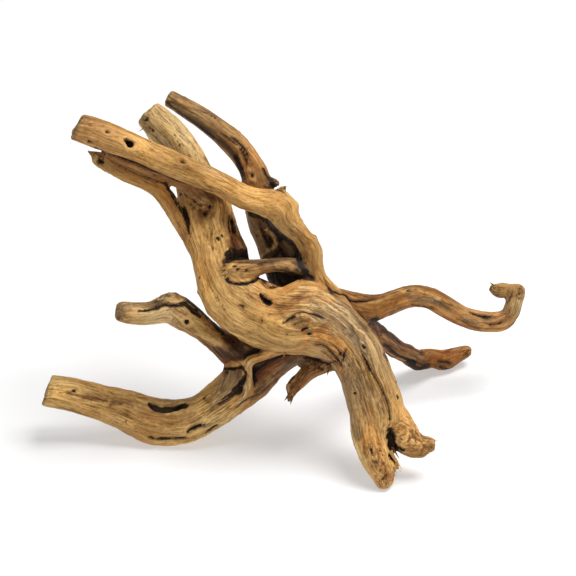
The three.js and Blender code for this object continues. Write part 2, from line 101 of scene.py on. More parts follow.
LIMBS = {
    "upper_arm": {
        "route": [
            (-211, 161.2, -62, 12.6, 12), (-196, 156.2, -58, 14.2, 13), (-178.5, 150.6, -53, 14.5, 13),
            (-152, 140.3, -46, 13, 13), (-126, 128, -40, 13.3, 13), (-100.5, 117.5, -34, 12.6, 13),
            (-71.5, 105.5, -27, 12, 14), (-44.5, 91.5, -18, 12, 14), (-27, 87, -10, 12.6, 15),
            (-7.5, 81, -3, 17.6, 17), (0.5, 67, 3, 13.8, 17), (12.5, 53, 8, 10, 16),
            (22.5, 38, 12, 12.2, 16), (24.5, 23, 15, 11.6, 16), (30, 9, 18, 10, 16),
            (42, -8, 22, 12.5, 16),
        ],
        "colours": [NUT, TAN, TAN, TAN, TAN, TAN],
        "sawn": True,
    },
    "stem": {
        "route": [
            (-140.5, 175.5, 6, 15, 13), (-120, 154.5, 7, 18, 15.5), (-103, 131, 8, 19, 16),
            (-91.5, 106, 7, 20, 17), (-85, 83, 5, 24, 18), (-82.5, 62, 3, 23, 19),
            (-77.5, 41, 1, 22, 20), (-72, 20, -1, 23.5, 21), (-57, -9, -3, 31.5, 23),
            (-16, -32, -4, 33.5, 25), (28, -36, -2, 34, 26), (64, -60, 2, 28, 24),
            (80, -93, 4, 27, 22), (89.5, -124, 3, 28, 19), (92, -146, 2, 19, 14),
            (93, -160, 1, 9, 8),
        ],
        "colours": [PALE, PALE, TAN, TAN, TAN, TAN, TAN, DRIFT, DRIFT, WHEAT, WHEAT],
        "sawn": True,
    },
    "left_toe": {
        "route": [
            (98.5, -200.5, 0, 4.5, 5), (97, -196, 0, 8.5, 7), (94, -183, 0, 14, 11),
            (87, -163, 1, 18, 14), (81.5, -142, 2, 20, 16), (80, -122, 3, 18, 14),
            (79, -100, 4, 10, 9),
        ],
        "colours": [WHEAT, STRAW, DRIFT],
    },
    "right_toe": {
        "route": [
            (147, -157, 4, 5.5, 6), (140, -156.5, 4, 8.8, 8), (132, -158, 4, 13.2, 10.5),
            (120, -153, 4, 16.2, 13), (108.5, -136, 4, 16.2, 15), (97, -112, 4, 13, 12),
            (88, -94, 4, 8, 8),
        ],
        "colours": [NUT, WHEAT, WHEAT, DRIFT],
    },
    "back_limb": {
        "route": [
            (-121, 190, 50, 9, 9), (-97.6, 177, 48, 10.4, 10), (-82, 167.5, 46, 10.8, 10.5),
            (-66, 155.5, 44, 11.8, 11), (-49.5, 140, 43, 13, 12), (-40, 127, 43, 13, 12),
            (-33, 114, 43, 14.3, 13), (-28.5, 99, 43, 14.5, 13), (-28, 81, 42, 16, 13),
            (-24.5, 63, 41, 15.5, 13), (-14, 48, 40, 20, 14), (-5, 30, 38, 24, 15),
            (-1, 13, 34, 20, 16), (8, -6, 28, 19, 16),
        ],
        "colours": [OLIVE, OLIVE, OLIVE, NUT, OLIVE, UMBER, EARTH, EARTH],
        "furrows": 1.5,
        "sawn": True,
    },
    "split_strip": {
        "route": [
            (-195, 133.5, -40, 2.5, 2), (-190, 128, -38, 6.6, 3.5), (-176, 121.5, -34, 8, 4.5),
            (-161, 113.5, -29, 8.2, 5), (-144.5, 106.5, -24, 8.2, 5.5), (-129, 98, -19, 9, 6),
            (-118.5, 86, -14, 9.5, 6), (-110.5, 69, -10, 7.6, 6), (-104, 55, -6, 5.6, 6),
            (-97, 40, -2, 4.6, 6), (-88, 26, 2, 5, 5),
        ],
        "colours": [TAN, HONEY, HONEY, HONEY, BROWN],
        "furrows": 0.7,
    },
    "web": {
        "route": [
            (-187, 137.5, -44, 2.5, 3), (-168, 131, -38, 7, 5), (-143, 121, -30, 9.5, 6),
            (-118, 112.5, -22, 9, 7), (-98, 102, -14, 9, 8), (-83, 88, -6, 9, 9),
        ],
        # Painted shadow: the web lies in the upper arm's shadow, and its dark brown is partly that shade.
        "colours": [BROWN, BROWN],
    },
    "slit_rib": {
        "route": [
            (-61, 88, 12, 3, 5), (-58, 66, 13, 6, 9), (-54, 50, 13, 7.5, 11), (-51, 38, 13, 11, 13),
            (-50, 24, 12, 12, 14),
        ],
        "colours": [TAN, BROWN, UMBER],
    },
    "cross_twig": {
        "route": [
            (-64, 16, -19, 3.5, 4), (-59, 18.5, -18, 7.5, 6), (-52, 19, -16, 9.5, 7),
            (-40, 19.5, -13, 9.5, 7.5), (-28, 21, -9, 7.8, 7), (-14, 23, -4, 6.6, 7.5),
            (2, 21.5, 2, 8.8, 9), (18, 17, 10, 11, 12),
        ],
        "colours": [TAN, NUT, BROWN, EARTH, SOOT],
        "furrows": 1.2,
    },
    "right_limb": {
        "route": [
            (224, -27, 118, 7.5, 8), (214, -33, 118, 10.2, 10), (202, -34.1, 115, 10.4, 10.5),
            (186.5, -31.8, 110, 11, 11), (170, -25.5, 104, 11, 11), (156, -17.8, 98, 11.3, 11),
            (140, -9.9, 90, 11.2, 11.5), (125, -7.6, 80, 11.1, 12), (111.5, -11.4, 70, 11, 12.5),
            (96.5, -17.2, 58, 11.8, 13.5), (80, -21, 45, 14.5, 15), (47, -14, 25, 14, 16),
        ],
        "colours": [NUT, NUT, LEATHER, LEATHER, LEATHER],
        "furrows": 1.1,
    },
    "hook_post": {
        "route": [
            (228, 4.2, 110, 4.5, 5), (228, 0.5, 110, 9.3, 7.5), (227.5, -5, 112, 10.4, 8.5),
            (226, -14, 114, 8.6, 9), (222.5, -25, 117, 9, 9), (217, -32, 118, 7.5, 8),
        ],
        "colours": [NUT, PALE, NUT],
    },
    "hook_tip": {
        "route": [
            (202.5, 1.8, 126, 2.8, 3), (207, -1.4, 123, 6, 5.5), (212, -2.2, 120, 8, 6.5),
            (219, -2.5, 116, 7.5, 7), (228, -3, 112, 7, 7),
        ],
        "colours": [TAN, TAN],
    },
    "lower_right_limb": {
        "route": [
            (183, -64.5, 183, 4, 4.5), (179, -64, 183, 6.8, 6.5), (170, -67, 181, 8, 8.2),
            (156, -72.7, 177, 10.9, 10.7), (143, -70.5, 170, 9.6, 11), (130, -72, 158, 11.4, 12.5),
            (119, -65.8, 141, 9.4, 12), (107, -60, 120, 9.6, 12), (96, -51.5, 99, 10.2, 13),
            (78, -38, 68, 10.5, 14), (62, -34, 38, 13, 16), (50, -38, 12, 9, 10),
        ],
        "colours": [CHESTNUT, CHESTNUT, CHESTNUT, UMBER],
        "furrows": 1.2,
    },
    "left_limb": {
        "route": [
            (-168.5, -24, -22, 10, 9), (-164, -24.4, -18, 11, 10.5), (-151, -25.4, -10, 12, 11.5),
            (-136, -24.4, -1, 12.2, 12), (-126, -21.8, 5, 14.4, 14), (-117, -20.3, 9, 16.8, 15.5),
            (-102, -28.6, 14, 16, 15.5), (-88.5, -38, 20, 13.2, 14), (-74.5, -48.5, 24, 11.4, 14),
            (-58, -62, 28, 15.5, 16), (-42, -70, 30, 15, 17), (-22, -68, 30, 11, 14),
        ],
        # The umber and earth at the root end are partly painted shadow under the stem's lower edge.
        "colours": [DRIFT, PALE, DRIFT, NUT, UMBER, EARTH],
        "sawn": True,
    },
    "lower_left_limb": {
        "route": [
            (-241.5, -103, 45, 15.8, 14), (-220, -106, 48, 16.2, 14.5), (-201, -110.8, 52, 16.8, 15),
            (-181.5, -116.2, 56, 17.7, 16), (-162, -121.8, 59, 19.9, 18), (-143, -129.3, 62, 21.4, 19.5),
            (-124.5, -133.3, 63, 22.8, 21), (-106, -133.3, 61, 22.4, 21), (-86, -127, 55, 21, 20),
            (-70.5, -116.8, 50, 21.4, 20), (-53, -102, 45, 22.8, 21), (-34, -89.5, 42, 21.6, 21),
            (-17, -74.5, 38, 19, 20), (5, -61.5, 30, 15.5, 18), (26, -50, 14, 14, 14),
        ],
        "colours": [STRAW, WHEAT, WHEAT, STRAW, TAN, BROWN, UMBER],
        "sawn": True,
    },
    "charred_knot": {
        "route": [(-9, 103, 36, 2.5, 3), (-14, 105, 38, 5.5, 6), (-24, 105, 42, 9, 9)],
        "colours": [EARTH, EARTH],
        "furrows": 1.2,
    },
    "hanging_splinter": {
        "route": [
            (1, -114, 6, 1.8, 2), (3, -106, 7, 4.6, 3), (7, -98, 8, 7.6, 4), (13, -91, 9, 8.6, 5),
            (20, -84, 10, 8.6, 6), (32, -76, 12, 10, 8), (42, -68, 14, 10, 8),
        ],
        "colours": [UMBER, BROWN, NUT],
    },
    "broken_knob": {
        "route": [
            (-76, -116, 26, 2, 2.5), (-66, -106, 19, 7, 5), (-58, -94, 16, 11, 7),
            (-55, -83, 19, 10.5, 8), (-50, -70, 26, 9, 9),
        ],
        "colours": [BROWN, BROWN, UMBER],
    },
    "ledge": {
        "route": [
            (-37, 18, 8, 5, 7), (-33, 6, 3, 5.5, 9), (-27, -4, -1, 4.8, 10), (-18, -7.5, -3, 4.6, 10),
            (-7, -6, -3, 5.2, 10), (7, 0, 0, 6, 10), (18, 2.5, 4, 6, 10), (30, -1.5, 8, 6.8, 10),
            (44, -8, 13, 7.5, 10), (58, -22, 8, 8, 10), (66, -38, 2, 6, 6),
        ],
        "colours": [BROWN, HONEY, HONEY, HONEY],
    },
    "amber_strand": {
        "route": [
            (-1, -62, 0, 4, 5), (-26, -68, 4, 5, 6), (-39, -74, 6, 6, 7), (-41, -84, 12, 5.5, 7),
            (-40, -97, 19, 5, 6), (-45, -110, 26, 3.5, 5),
        ],
        "colours": [HONEY, HONEY],
    },
    "heart": {
        "route": [
            (-66, -54, 22, 4, 4), (-50, -58, 29, 20, 18), (-20, -52, 31, 27, 25), (14, -42, 29, 27, 26),
            (44, -30, 28, 22, 22), (66, -24, 36, 12, 14), (84, -22, 48, 4, 5),
        ],
        "colours": [EARTH, UMBER],
        "buried": True,
    },
}

# The wood's skin: the joined limbs' solid, remade with a fine even mesh and rubbed smooth, so that
# creases between limbs become fillets. Sawn ends are rubbed little, so that their rims stay crisp.
GRID = 1.88
RUBS = 30
RUB = 0.55
RUB_BACK = -0.57
SAWN_RUB = 0.15
SAWN_NEAR = 1.3
SAWN_FAR = 2.2

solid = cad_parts["spiderwood_root"]
root = bpy.data.objects.new("root_wood", solid.data.copy())
bpy.context.scene.collection.objects.link(root)
remake = root.modifiers.new("remake", "REMESH")
remake.mode = "VOXEL"
remake.voxel_size = GRID * MILLIMETRE
remade = bpy.data.meshes.new_from_object(root.evaluated_get(bpy.context.evaluated_depsgraph_get()))
root.modifiers.clear()
root.data = remade
remade.materials.clear()
remade.name = "root_wood"
remade.polygons.foreach_set("use_smooth", np.ones(len(remade.polygons), bool))

points_total = len(remade.vertices)
places = np.empty(points_total * 3)
remade.vertices.foreach_get("co", places)
places = places.reshape(-1, 3) / MILLIMETRE
edges = np.empty(len(remade.edges) * 2, int)
remade.edges.foreach_get("vertices", edges)
edges = edges.reshape(-1, 2)
ends = np.concatenate((edges, edges[:, ::-1]))
neighbours = np.bincount(ends[:, 0], minlength=points_total)


def averaged(values):
    """Each point's mean over its neighbours."""
    if values.ndim == 1:
        return np.bincount(ends[:, 0], values[ends[:, 1]], points_total) / neighbours
    return np.stack([averaged(column) for column in values.T], 1)


def between(values, low, high):
    """0 where a value is below low, 1 above high, and smooth between them."""
    share = np.clip((values - low) / (high - low), 0, 1)
    return share * share * (3 - 2 * share)


rub_share = np.ones(points_total)
for limb in LIMBS.values():
    if limb.get("sawn"):
        station = limb["route"][0]
        away = np.linalg.norm(places - seen(*station[:3]), axis=1) / station[3]
        rub_share = np.minimum(rub_share, SAWN_RUB + (1 - SAWN_RUB) * between(away, SAWN_NEAR, SAWN_FAR))
for _ in range(RUBS):
    places = places + RUB * rub_share[:, None] * (averaged(places) - places)
    places = places + RUB_BACK * rub_share[:, None] * (averaged(places) - places)

# The grain: at each point of the skin, every limb gives how far the point is round it and along it.
# The limbs that lie nearest share the point, so grain runs on smoothly where one limb joins another.
STATION_STEP = 2.0
LIMB_REACH = 12
POINTS_AT_ONCE = 8000
TOO_FAR = 1e3
TAPERED = 0.7
UNTAPERED = 0.3
LIMB_APART = 97.0
BURIED_GAP = 6.0
GROWN_IN = 2.2


def threaded(stations, count):
    """A smooth line through stations, at an even number of steps."""
    rows = np.array(stations, float)
    rows = np.vstack((2 * rows[0] - rows[1], rows, 2 * rows[-1] - rows[-2]))
    share = np.linspace(0, len(rows) - 3, count)
    before = np.minimum(share.astype(int), len(rows) - 4)
    share = (share - before)[:, None]
    a, b, c, d = (rows[before + i] for i in range(4))
    return (2 * b + (c - a) * share + (2 * a - 5 * b + 4 * c - d) * share**2
            + (3 * b - a - 3 * c + d) * share**3) / 2


def unit(rows):
    return rows / np.maximum(np.linalg.norm(rows, axis=-1, keepdims=True), 1e-9)


gaps = np.full((len(LIMBS), points_total), TOO_FAR)
rounds = np.zeros((len(LIMBS), points_total, 3))
shares = np.zeros((len(LIMBS), points_total))
along_limb = np.zeros((len(LIMBS), points_total, 3))
for number, limb in enumerate(LIMBS.values()):
    stations = np.array(limb["route"], float)
    count = int(np.linalg.norm(np.diff(stations[:, :3], axis=0), axis=1).sum() / STATION_STEP) + 2
    line = threaded(stations, count)
    middle = np.array([seen(*row[:3]) for row in line])
    size = line[:, 3:] * (VIEW_DISTANCE + line[:, 2:3]) / VIEW_DISTANCE
    heading = unit(np.gradient(middle, axis=0))
    side = unit(np.cross(heading, INWARD))
    front = np.cross(heading, side)
    run = np.concatenate(([0], np.linalg.norm(np.diff(middle, axis=0), axis=1).cumsum()))
    margin = size.max() + LIMB_REACH
    boxed = (places > middle.min(0) - margin) & (places < middle.max(0) + margin)
    near = np.where(np.all(boxed, 1))[0]
    nearest = np.empty(len(near), int)
    for chunk in np.array_split(np.arange(len(near)), max(1, len(near) // POINTS_AT_ONCE)):
        offset = places[near[chunk], None] - middle[None]
        nearest[chunk] = (offset**2).sum(2).argmin(1)
    offset = places[near] - middle[nearest]
    ahead = (offset * heading[nearest]).sum(1)
    inside = np.clip(ahead, -STATION_STEP, STATION_STEP)
    past = np.abs(ahead - inside)
    width = np.maximum(size[nearest, 0], 1)
    depth = np.maximum(size[nearest, 1], 1)
    aside = (offset * side[nearest]).sum(1)
    through = (offset * front[nearest]).sum(1)
    ratio = np.hypot(aside / width, through / depth)
    gap = np.hypot(np.maximum((ratio - 1) * (width + depth) / 2, 0), past)
    gaps[number, near] = gap + (BURIED_GAP if limb.get("buried") else 0)
    typical = size.mean(0)
    rounds[number, near] = np.stack((
        aside / width * typical[0] * TAPERED + aside * UNTAPERED,
        through / depth * typical[1] * TAPERED + through * UNTAPERED,
        run[nearest] + inside,
    ), 1) + LIMB_APART * number
    shares[number, near] = (run[nearest] + inside) / run[-1]
    along_limb[number, near] = heading[nearest]
closeness = np.exp(-(gaps - gaps.min(0)) / GROWN_IN)
closeness /= closeness.sum(0)
order = np.argsort(-closeness, axis=0)
own = order[0]
grain_way = along_limb[own, np.arange(points_total)]

thickness = np.zeros(points_total)
for number, limb in enumerate(LIMBS.values()):
    stations = np.array(limb["route"], float)
    spots = np.linspace(0, 1, len(stations))
    thickness += closeness[number] * np.interp(shares[number], spots, stations[:, 3:].mean(1))

# Knots and branch scars: the stumps of lost branches, each with a sunk eye and a raised rim. Grain
# parts round them as water does round a post. Some lie on the sides that the photo doesn't show.
KNOTS = [
    # across, down, radius of the eye, height of the rim
    (129.4, 145.3, 3.6, 0.8), (107.4, 132.5, 2.6, 0.5), (182.4, 161.6, 3.2, 1.6), (149.8, 140.2, 2, 0.4),
    (82.4, 118.8, 2.6, 0.8), (89.6, 141.7, 2.2, 0.6), (101.3, 161.6, 3, 0.6), (146.7, 119.3, 2.4, 0.5),
    (152.8, 130, 2.2, 0.5), (179.4, 128, 1.8, 0.3), (186.5, 149, 2.6, 0.6), (252, 175.7, 2.6, 1.4),
    (73.7, 390.8, 2.6, 0.8), (124, 423, 2, 0.8), (151, 437, 2.6, 1), (204, 211, 4.5, 1.8),
    (186.6, 322, 2.6, 1), (297, 320, 7, 0.6), (364, 347, 2.2, 0.5), (355, 393, 1.6, 0.3),
    (398, 397.5, 2.4, 0.4), (402, 434, 7, 0.8), (230, 247, 2.5, 0.4), (310, 243, 2.2, 0.4),
    (219, 306, 1.8, 0.4), (486, 317, 2.2, 0.3),
]
HIDDEN_KNOTS = 16
HIDDEN_RADIUS = (1.8, 4.5)
HIDDEN_RIM = (0.5, 1.4)
SEED = 11
TURNED_AWAY = 0.15
KNOTTY_THICKNESS = 9
OFF_FLOOR = 15
KNOT_REACH = 7
KNOT_LENGTH = 1.5
KNOT_DEPTH = 0.3
PARTS_FROM = 6.5
PARTS_FULLY = 3
RIM_RADIUS = 1.5
RIM_WIDTH = 0.6


def normals():
    """Moves the mesh to the places and gives the way that each point faces."""
    remade.vertices.foreach_set("co", (places * MILLIMETRE).ravel())
    remade.update()
    found = np.empty(points_total * 3, np.float32)
    remade.vertex_normals.foreach_get("vector", found)
    return found.reshape(-1, 3).astype(float)


def skin_now():
    """The skin as it lies at present, to cast rays at."""
    faces = [tuple(face.vertices) for face in remade.polygons]
    return BVHTree.FromPolygons([tuple(row) for row in places], faces)


def find(across, down):
    """The spot of the skin under a pixel of the camera's picture, or else nearest to it."""
    way = INWARD * VIEW_DISTANCE + RIGHT * (across - PICTURE_MIDDLE) + UPWARD * (PICTURE_MIDDLE - down)
    way = Vector(way).normalized()
    place, normal, _, _ = skin.ray_cast(Vector(eye), way)
    if place is None:
        place, normal, _, _ = skin.find_nearest(Vector(eye) + way * VIEW_DISTANCE)
    return np.array(place), np.array(normal)


def hump(distance, width):
    """1 where the distance is nothing, falling to 0 over about twice the width."""
    return np.exp(-((distance / width) ** 2))


skin = skin_now()
outward = normals()
random = np.random.default_rng(SEED)
unseen = (outward @ INWARD > TURNED_AWAY) * (thickness > KNOTTY_THICKNESS) * (places[:, 2] > OFF_FLOOR)
hidden = random.choice(points_total, HIDDEN_KNOTS, replace=False, p=unseen / unseen.sum())
knot_places = [(*find(across, down), radius, rim) for across, down, radius, rim in KNOTS]
for index in hidden:
    radius = random.uniform(*HIDDEN_RADIUS)
    knot_places.append((places[index], outward[index], radius, random.uniform(*HIDDEN_RIM)))
knot_rim = np.zeros(points_total)
for place, normal, radius, rim in knot_places:
    offset = places - place
    near = np.where((offset**2).sum(1) < (radius * KNOT_REACH) ** 2)[0]
    centre = near[(offset[near] ** 2).sum(1).argmin()]
    limb = own[centre]
    way = grain_way[centre]
    sideways = unit(np.cross(way, normal))
    aside = offset[near] @ sideways
    ahead = offset[near] @ way / KNOT_LENGTH
    away = aside**2 + ahead**2 + (offset[near] @ normal) ** 2 * KNOT_DEPTH
    distance = np.sqrt(away)
    fade = between(-distance, -radius * PARTS_FROM, -radius * PARTS_FULLY)
    shift = -aside * radius**2 / np.maximum(away, radius**2) * fade
    level = unit(np.cross(way, INWARD))
    rounds[limb, near, 0] += shift * (sideways @ level)
    rounds[limb, near, 1] += shift * (sideways @ np.cross(way, level))
    knot_rim[near] += rim * hump(distance - radius * RIM_RADIUS, radius * RIM_WIDTH)

# Relief: flutes and ridges that run with the grain, deeper on thick limbs, furrows and loose bark,
# all bent by a slow waviness of the grain itself, as in wood that grew round stones.
LATTICE = 32
WAVER = 2.6
WAVER_CELL = 34
SMALL_WAVER = 0.5
SMALL_WAVER_CELL = 15
GRAIN_SHARE = 0.02
FULL_THICKNESS = 16
BULK = (0.25, 1.3)
PLAIN_FURROWS = 0.4
FURROW_SHARPNESS = 6
FLUTE_HEIGHT = 1.1
RIDGE_HEIGHT = 0.45
FINE_HEIGHT = 0.18
FURROW_DEPTH = 1.4
LUMP_HEIGHT = 0.4
LUMP_CELL = 11
SMALL_LUMP = 0.6
SMALL_LUMP_CELL = 5
FLAKE_HEIGHT = 0.5
lattice = random.random((LATTICE, LATTICE, LATTICE))


def cloud(where, shift=0):
    """Smooth noise from -1 to 1 at points given in units of its cell."""
    cell = np.floor(where).astype(int)
    inner = where - cell
    inner = inner * inner * (3 - 2 * inner)
    total = np.zeros(len(where))
    for corner in itertools.product((0, 1), repeat=3):
        index = (cell + corner + shift) % LATTICE
        weight = np.where(corner, inner, 1 - inner).prod(1)
        total += weight * lattice[index[:, 0], index[:, 1], index[:, 2]]
    return 2 * total - 1


def with_grain(width, stretch, shift=0):
    """Noise drawn out along the grain: its cells are width across and width times stretch along."""
    total = np.zeros(points_total)
    for number in range(len(LIMBS)):
        near = np.where(closeness[number] > GRAIN_SHARE)[0]
        where = rounds[number, near] / (width, width, width * stretch)
        total[near] += closeness[number, near] * cloud(where, shift)
    return total


for axis in range(2):
    waver = cloud(places / WAVER_CELL, 5 * axis) + SMALL_WAVER * cloud(places / SMALL_WAVER_CELL, 7 * axis)
    rounds[:, :, axis] += WAVER * waver
bulk = np.clip(thickness / FULL_THICKNESS, *BULK)
furrow_depth = sum(
    closeness[number] * limb.get("furrows", PLAIN_FURROWS) for number, limb in enumerate(LIMBS.values())
)
valley = (1 - np.abs(with_grain(5.5, 11, 25))) ** FURROW_SHARPNESS
furrow = valley * between(with_grain(16, 3, 27), -0.2, 0.5) * furrow_depth
flutes = with_grain(11, 7, 3)
ridges = with_grain(4.6, 12, 9)
fine = with_grain(2.8, 14, 17)
lumps = cloud(places / LUMP_CELL, 31) + SMALL_LUMP * cloud(places / SMALL_LUMP_CELL, 37)
peeling = with_grain(8, 4, 41)
flake = between(peeling, 0.10, 0.24)
flake_edge = between(peeling, -0.02, 0.10) * (1 - flake)
relief = FLUTE_HEIGHT * bulk * flutes + RIDGE_HEIGHT * bulk * ridges + FINE_HEIGHT * fine
relief -= FURROW_DEPTH * furrow
relief += LUMP_HEIGHT * bulk * lumps + FLAKE_HEIGHT * bulk * flake
relief += knot_rim

# Frayed and worn wood: ends and broken faces where the fibres crumble apart, and weathered grey
# stretches whose growth lines are etched out. Each is a stroke along a line in the picture.
FRAYED = [
    # half width, then the line across and down the picture
    (13, 374, 452, 382, 470, 388, 486), (13, 396, 428, 410, 438, 432, 446),
    (6, 141, 108, 142, 118, 147, 127), (4, 74, 118, 73, 138), (5, 222, 268, 226, 276),
    (6, 490, 286, 496, 293), (6, 464, 350, 469, 356), (6, 162, 296, 172, 293, 184, 298),
    (4, 118, 304, 118, 320), (5, 94, 152, 100, 160), (6, 290, 398, 294, 388), (5, 212, 404, 206, 398),
    (8, 296, 372, 314, 364, 330, 368), (4, 280, 188, 288, 188), (3, 44, 384, 46, 400),
    (5, 518, 286, 522, 296), (7, 196, 204, 208, 210),
]
WORN = [
    # half width, then the line
    (19, 296, 306, 320, 304, 344, 314, 358, 334, 368, 362, 372, 400), (7, 134, 302, 150, 303, 166, 298),
    (8, 470, 322, 490, 324, 512, 308), (5, 410, 297, 430, 299, 450, 307),
    (10, 320, 336, 332, 346, 342, 362), (8, 240, 396, 222, 408, 204, 424),
    (9, 262, 220, 270, 236, 280, 250),
]
STROKE_STEP = 0.8
FACING = -0.2
PATCH_REACH = 1.4
PATCH_RIM = 1.3
PATCH_FULL = 0.5
WORN_FULL = 0.6
WORN_WAVES = 0.3
CRUMB_HEIGHT = 0.55
CRUMB_CELL = 2.6
LARGE_CRUMB = 0.7
LARGE_CRUMB_CELL = 4.6


def traced(line):
    """A line in the picture laid on the surface, in even steps."""
    stations = np.array(line, float).reshape(-1, 2)
    count = max(4, int(np.linalg.norm(np.diff(stations, axis=0), axis=1).sum() / STROKE_STEP))
    if len(stations) > 2:
        spots = threaded(stations, count)
    else:
        spots = stations[0] + np.linspace(0, 1, count)[:, None] * (stations[1] - stations[0])
    found = [find(*spot) for spot in spots]
    return np.array([place for place, _ in found]), np.array([normal for _, normal in found])


def beside(line, reach):
    """The points near a line on the surface, how far to its side each is, and its share along it."""
    marks, faces_out = traced(line)
    low = marks.min(0) - reach
    high = marks.max(0) + reach
    near = np.where(np.all((places > low) & (places < high), 1))[0]
    nearest = ((places[near, None] - marks[None]) ** 2).sum(2).argmin(1)
    offset = places[near] - marks[nearest]
    distance = np.linalg.norm(offset, axis=1)
    way = unit(np.gradient(marks, axis=0))[nearest]
    sideways = (offset * unit(np.cross(way, faces_out[nearest]))).sum(1)
    signed = np.where(sideways < 0, -distance, distance)
    share = nearest / (len(marks) - 1)
    kept = (distance < reach) & ((outward[near] * faces_out[nearest]).sum(1) > FACING)
    return near[kept], signed[kept], share[kept]


def patch(half, line, full=PATCH_FULL, waves=0.0):
    """The points near a patch along a line, and how fully it covers each."""
    near, signed, _ = beside(line, half * PATCH_REACH)
    return near, between(-np.abs(signed) / half - waves * flutes[near], -PATCH_RIM, -full)


frayed = np.zeros(points_total)
for half, *line in FRAYED:
    near, cover = patch(half, line)
    frayed[near] = np.maximum(frayed[near], cover)
worn = np.zeros(points_total)
for half, *line in WORN:
    near, cover = patch(half, line, WORN_FULL, WORN_WAVES)
    worn[near] = np.maximum(worn[near], cover)
crumbs = cloud(places / CRUMB_CELL, 3) + LARGE_CRUMB * cloud(places / LARGE_CRUMB_CELL, 9)
relief += CRUMB_HEIGHT * frayed * crumbs

# Splits and folds: drying cracks and grooves cut into the wood, and folds of bark that stand out
# from it. Each is a stroke too. A narrow split also gets a dark line of painted shade.
SPLITS = [
    # half width, depth, then the line
    (0.8, 1.6, 323, 271, 329, 288, 346, 296, 351, 301, 362, 301, 372, 299, 384, 296),
    (0.5, 1.4, 358, 344, 364, 357, 370, 370, 376, 379, 386, 398, 390, 413, 390, 430),
    (2.2, 5, 390, 428, 391, 440, 396, 452, 402, 463),
    (0.4, 1.2, 277, 327, 286, 322, 291, 316.5, 297, 312.5, 306, 312.5, 322, 317, 332, 321),
    (0.7, 1.2, 290, 320, 293, 317.5, 297, 316), (0.8, 1.8, 300.5, 331.5, 305, 329, 309, 327),
    (0.35, 1, 307, 334.5, 312, 333), (0.3, 0.9, 306, 341.5, 311, 341), (0.5, 0.9, 314, 345, 321, 344),
    (1.4, 2.6, 260, 294, 264, 299.5, 271, 304), (3.2, 3, 262, 281, 268, 286, 278, 285),
    (0.25, 0.9, 292, 327, 297, 323, 304, 321, 312, 322),
    (0.2, 0.8, 284, 316, 288, 311, 295, 308.5, 306, 307.5),
    (0.5, 1.4, 311, 347, 318, 345, 325, 346, 333, 354, 341, 364.5, 343, 370),
    (0.5, 1.2, 347, 346, 344, 356, 342, 364), (0.35, 0.9, 328, 340.5, 338, 350, 343, 359),
    (0.35, 0.9, 318, 350, 326, 353, 334, 361, 339, 370), (0.8, 1.6, 229, 135, 238, 142, 245, 150, 250, 162),
    (0.5, 0.9, 219, 131, 230, 140, 240, 147), (2, 3, 148, 404, 156, 409.5, 170, 410.5, 184, 405),
    (1.2, 2.2, 188, 432, 195, 428, 203, 426), (1.2, 2.2, 206, 434, 212, 430, 220, 425),
    (1, 1.8, 216, 433, 226, 428, 234, 423), (0.5, 0.9, 150, 438, 170, 439, 192, 438),
    (0.8, 1.4, 138, 311, 150, 310, 163, 305, 176, 306, 185, 303), (0.4, 1, 184, 208, 188, 218, 193, 229),
    (0.4, 1, 178, 196, 181, 206, 187, 220), (0.3, 1, 186, 200, 192, 206, 198, 212),
    (0.3, 0.9, 190, 197, 197, 203, 203, 208),
    (1, 2, 381, 342, 388, 347, 397, 355.5, 406, 359, 415, 362, 427, 366),
    (0.8, 1.6, 383, 350, 390, 356, 398, 358), (0.7, 1.4, 437, 361, 445, 362, 452, 364),
    (0.5, 0.8, 406, 303, 416, 305, 427, 307, 438, 311), (0.4, 1, 458, 318, 470, 325, 482, 329),
    (0.4, 1, 470, 312, 484, 316, 498, 314), (0.4, 1, 480, 322, 494, 325, 506, 320),
    (0.4, 1, 502, 306, 509, 300, 513, 290), (0.3, 0.8, 496, 308, 504, 303, 507, 294),
    (0.4, 0.7, 268, 186, 280, 190, 292, 199), (0.3, 0.6, 349, 320, 356, 334, 362, 345),
    (0.25, 0.5, 352, 312, 364, 326, 372, 343), (0.25, 0.5, 346, 341, 355, 358, 368, 378),
    (0.25, 0.5, 330, 318, 344, 327, 354, 341), (0.7, 1.2, 238, 147, 244, 155, 248, 170),
    (0.5, 0.8, 200, 189, 208, 190, 216, 193), (0.8, 2.4, 243, 369, 245, 376, 240, 385, 230, 395, 214, 404),
    (0.4, 1, 232, 413, 246, 400, 262, 392), (4.6, 2.2, 270, 305, 279, 308, 290, 304, 300, 298, 316, 295),
    (3.4, 1.3, 236, 192, 250, 198, 262, 204, 274, 214, 290, 232), (3.2, 1, 140, 158, 160, 166, 184, 176),
    (3.2, 1, 80, 384, 110, 392, 140, 404), (5, 1.4, 214, 246, 222, 270, 234, 296, 252, 318),
    (4, 1, 236, 252, 244, 284, 262, 312), (0.8, 2.6, 222, 277, 230, 282, 242, 284, 254, 281, 262, 276),
    (2, 3, 223, 264, 232, 258, 244, 257, 256, 257), (0.5, 0.8, 288, 385, 291, 380, 296, 374),
    (0.5, 0.8, 326, 366, 332, 362, 338, 359),
]
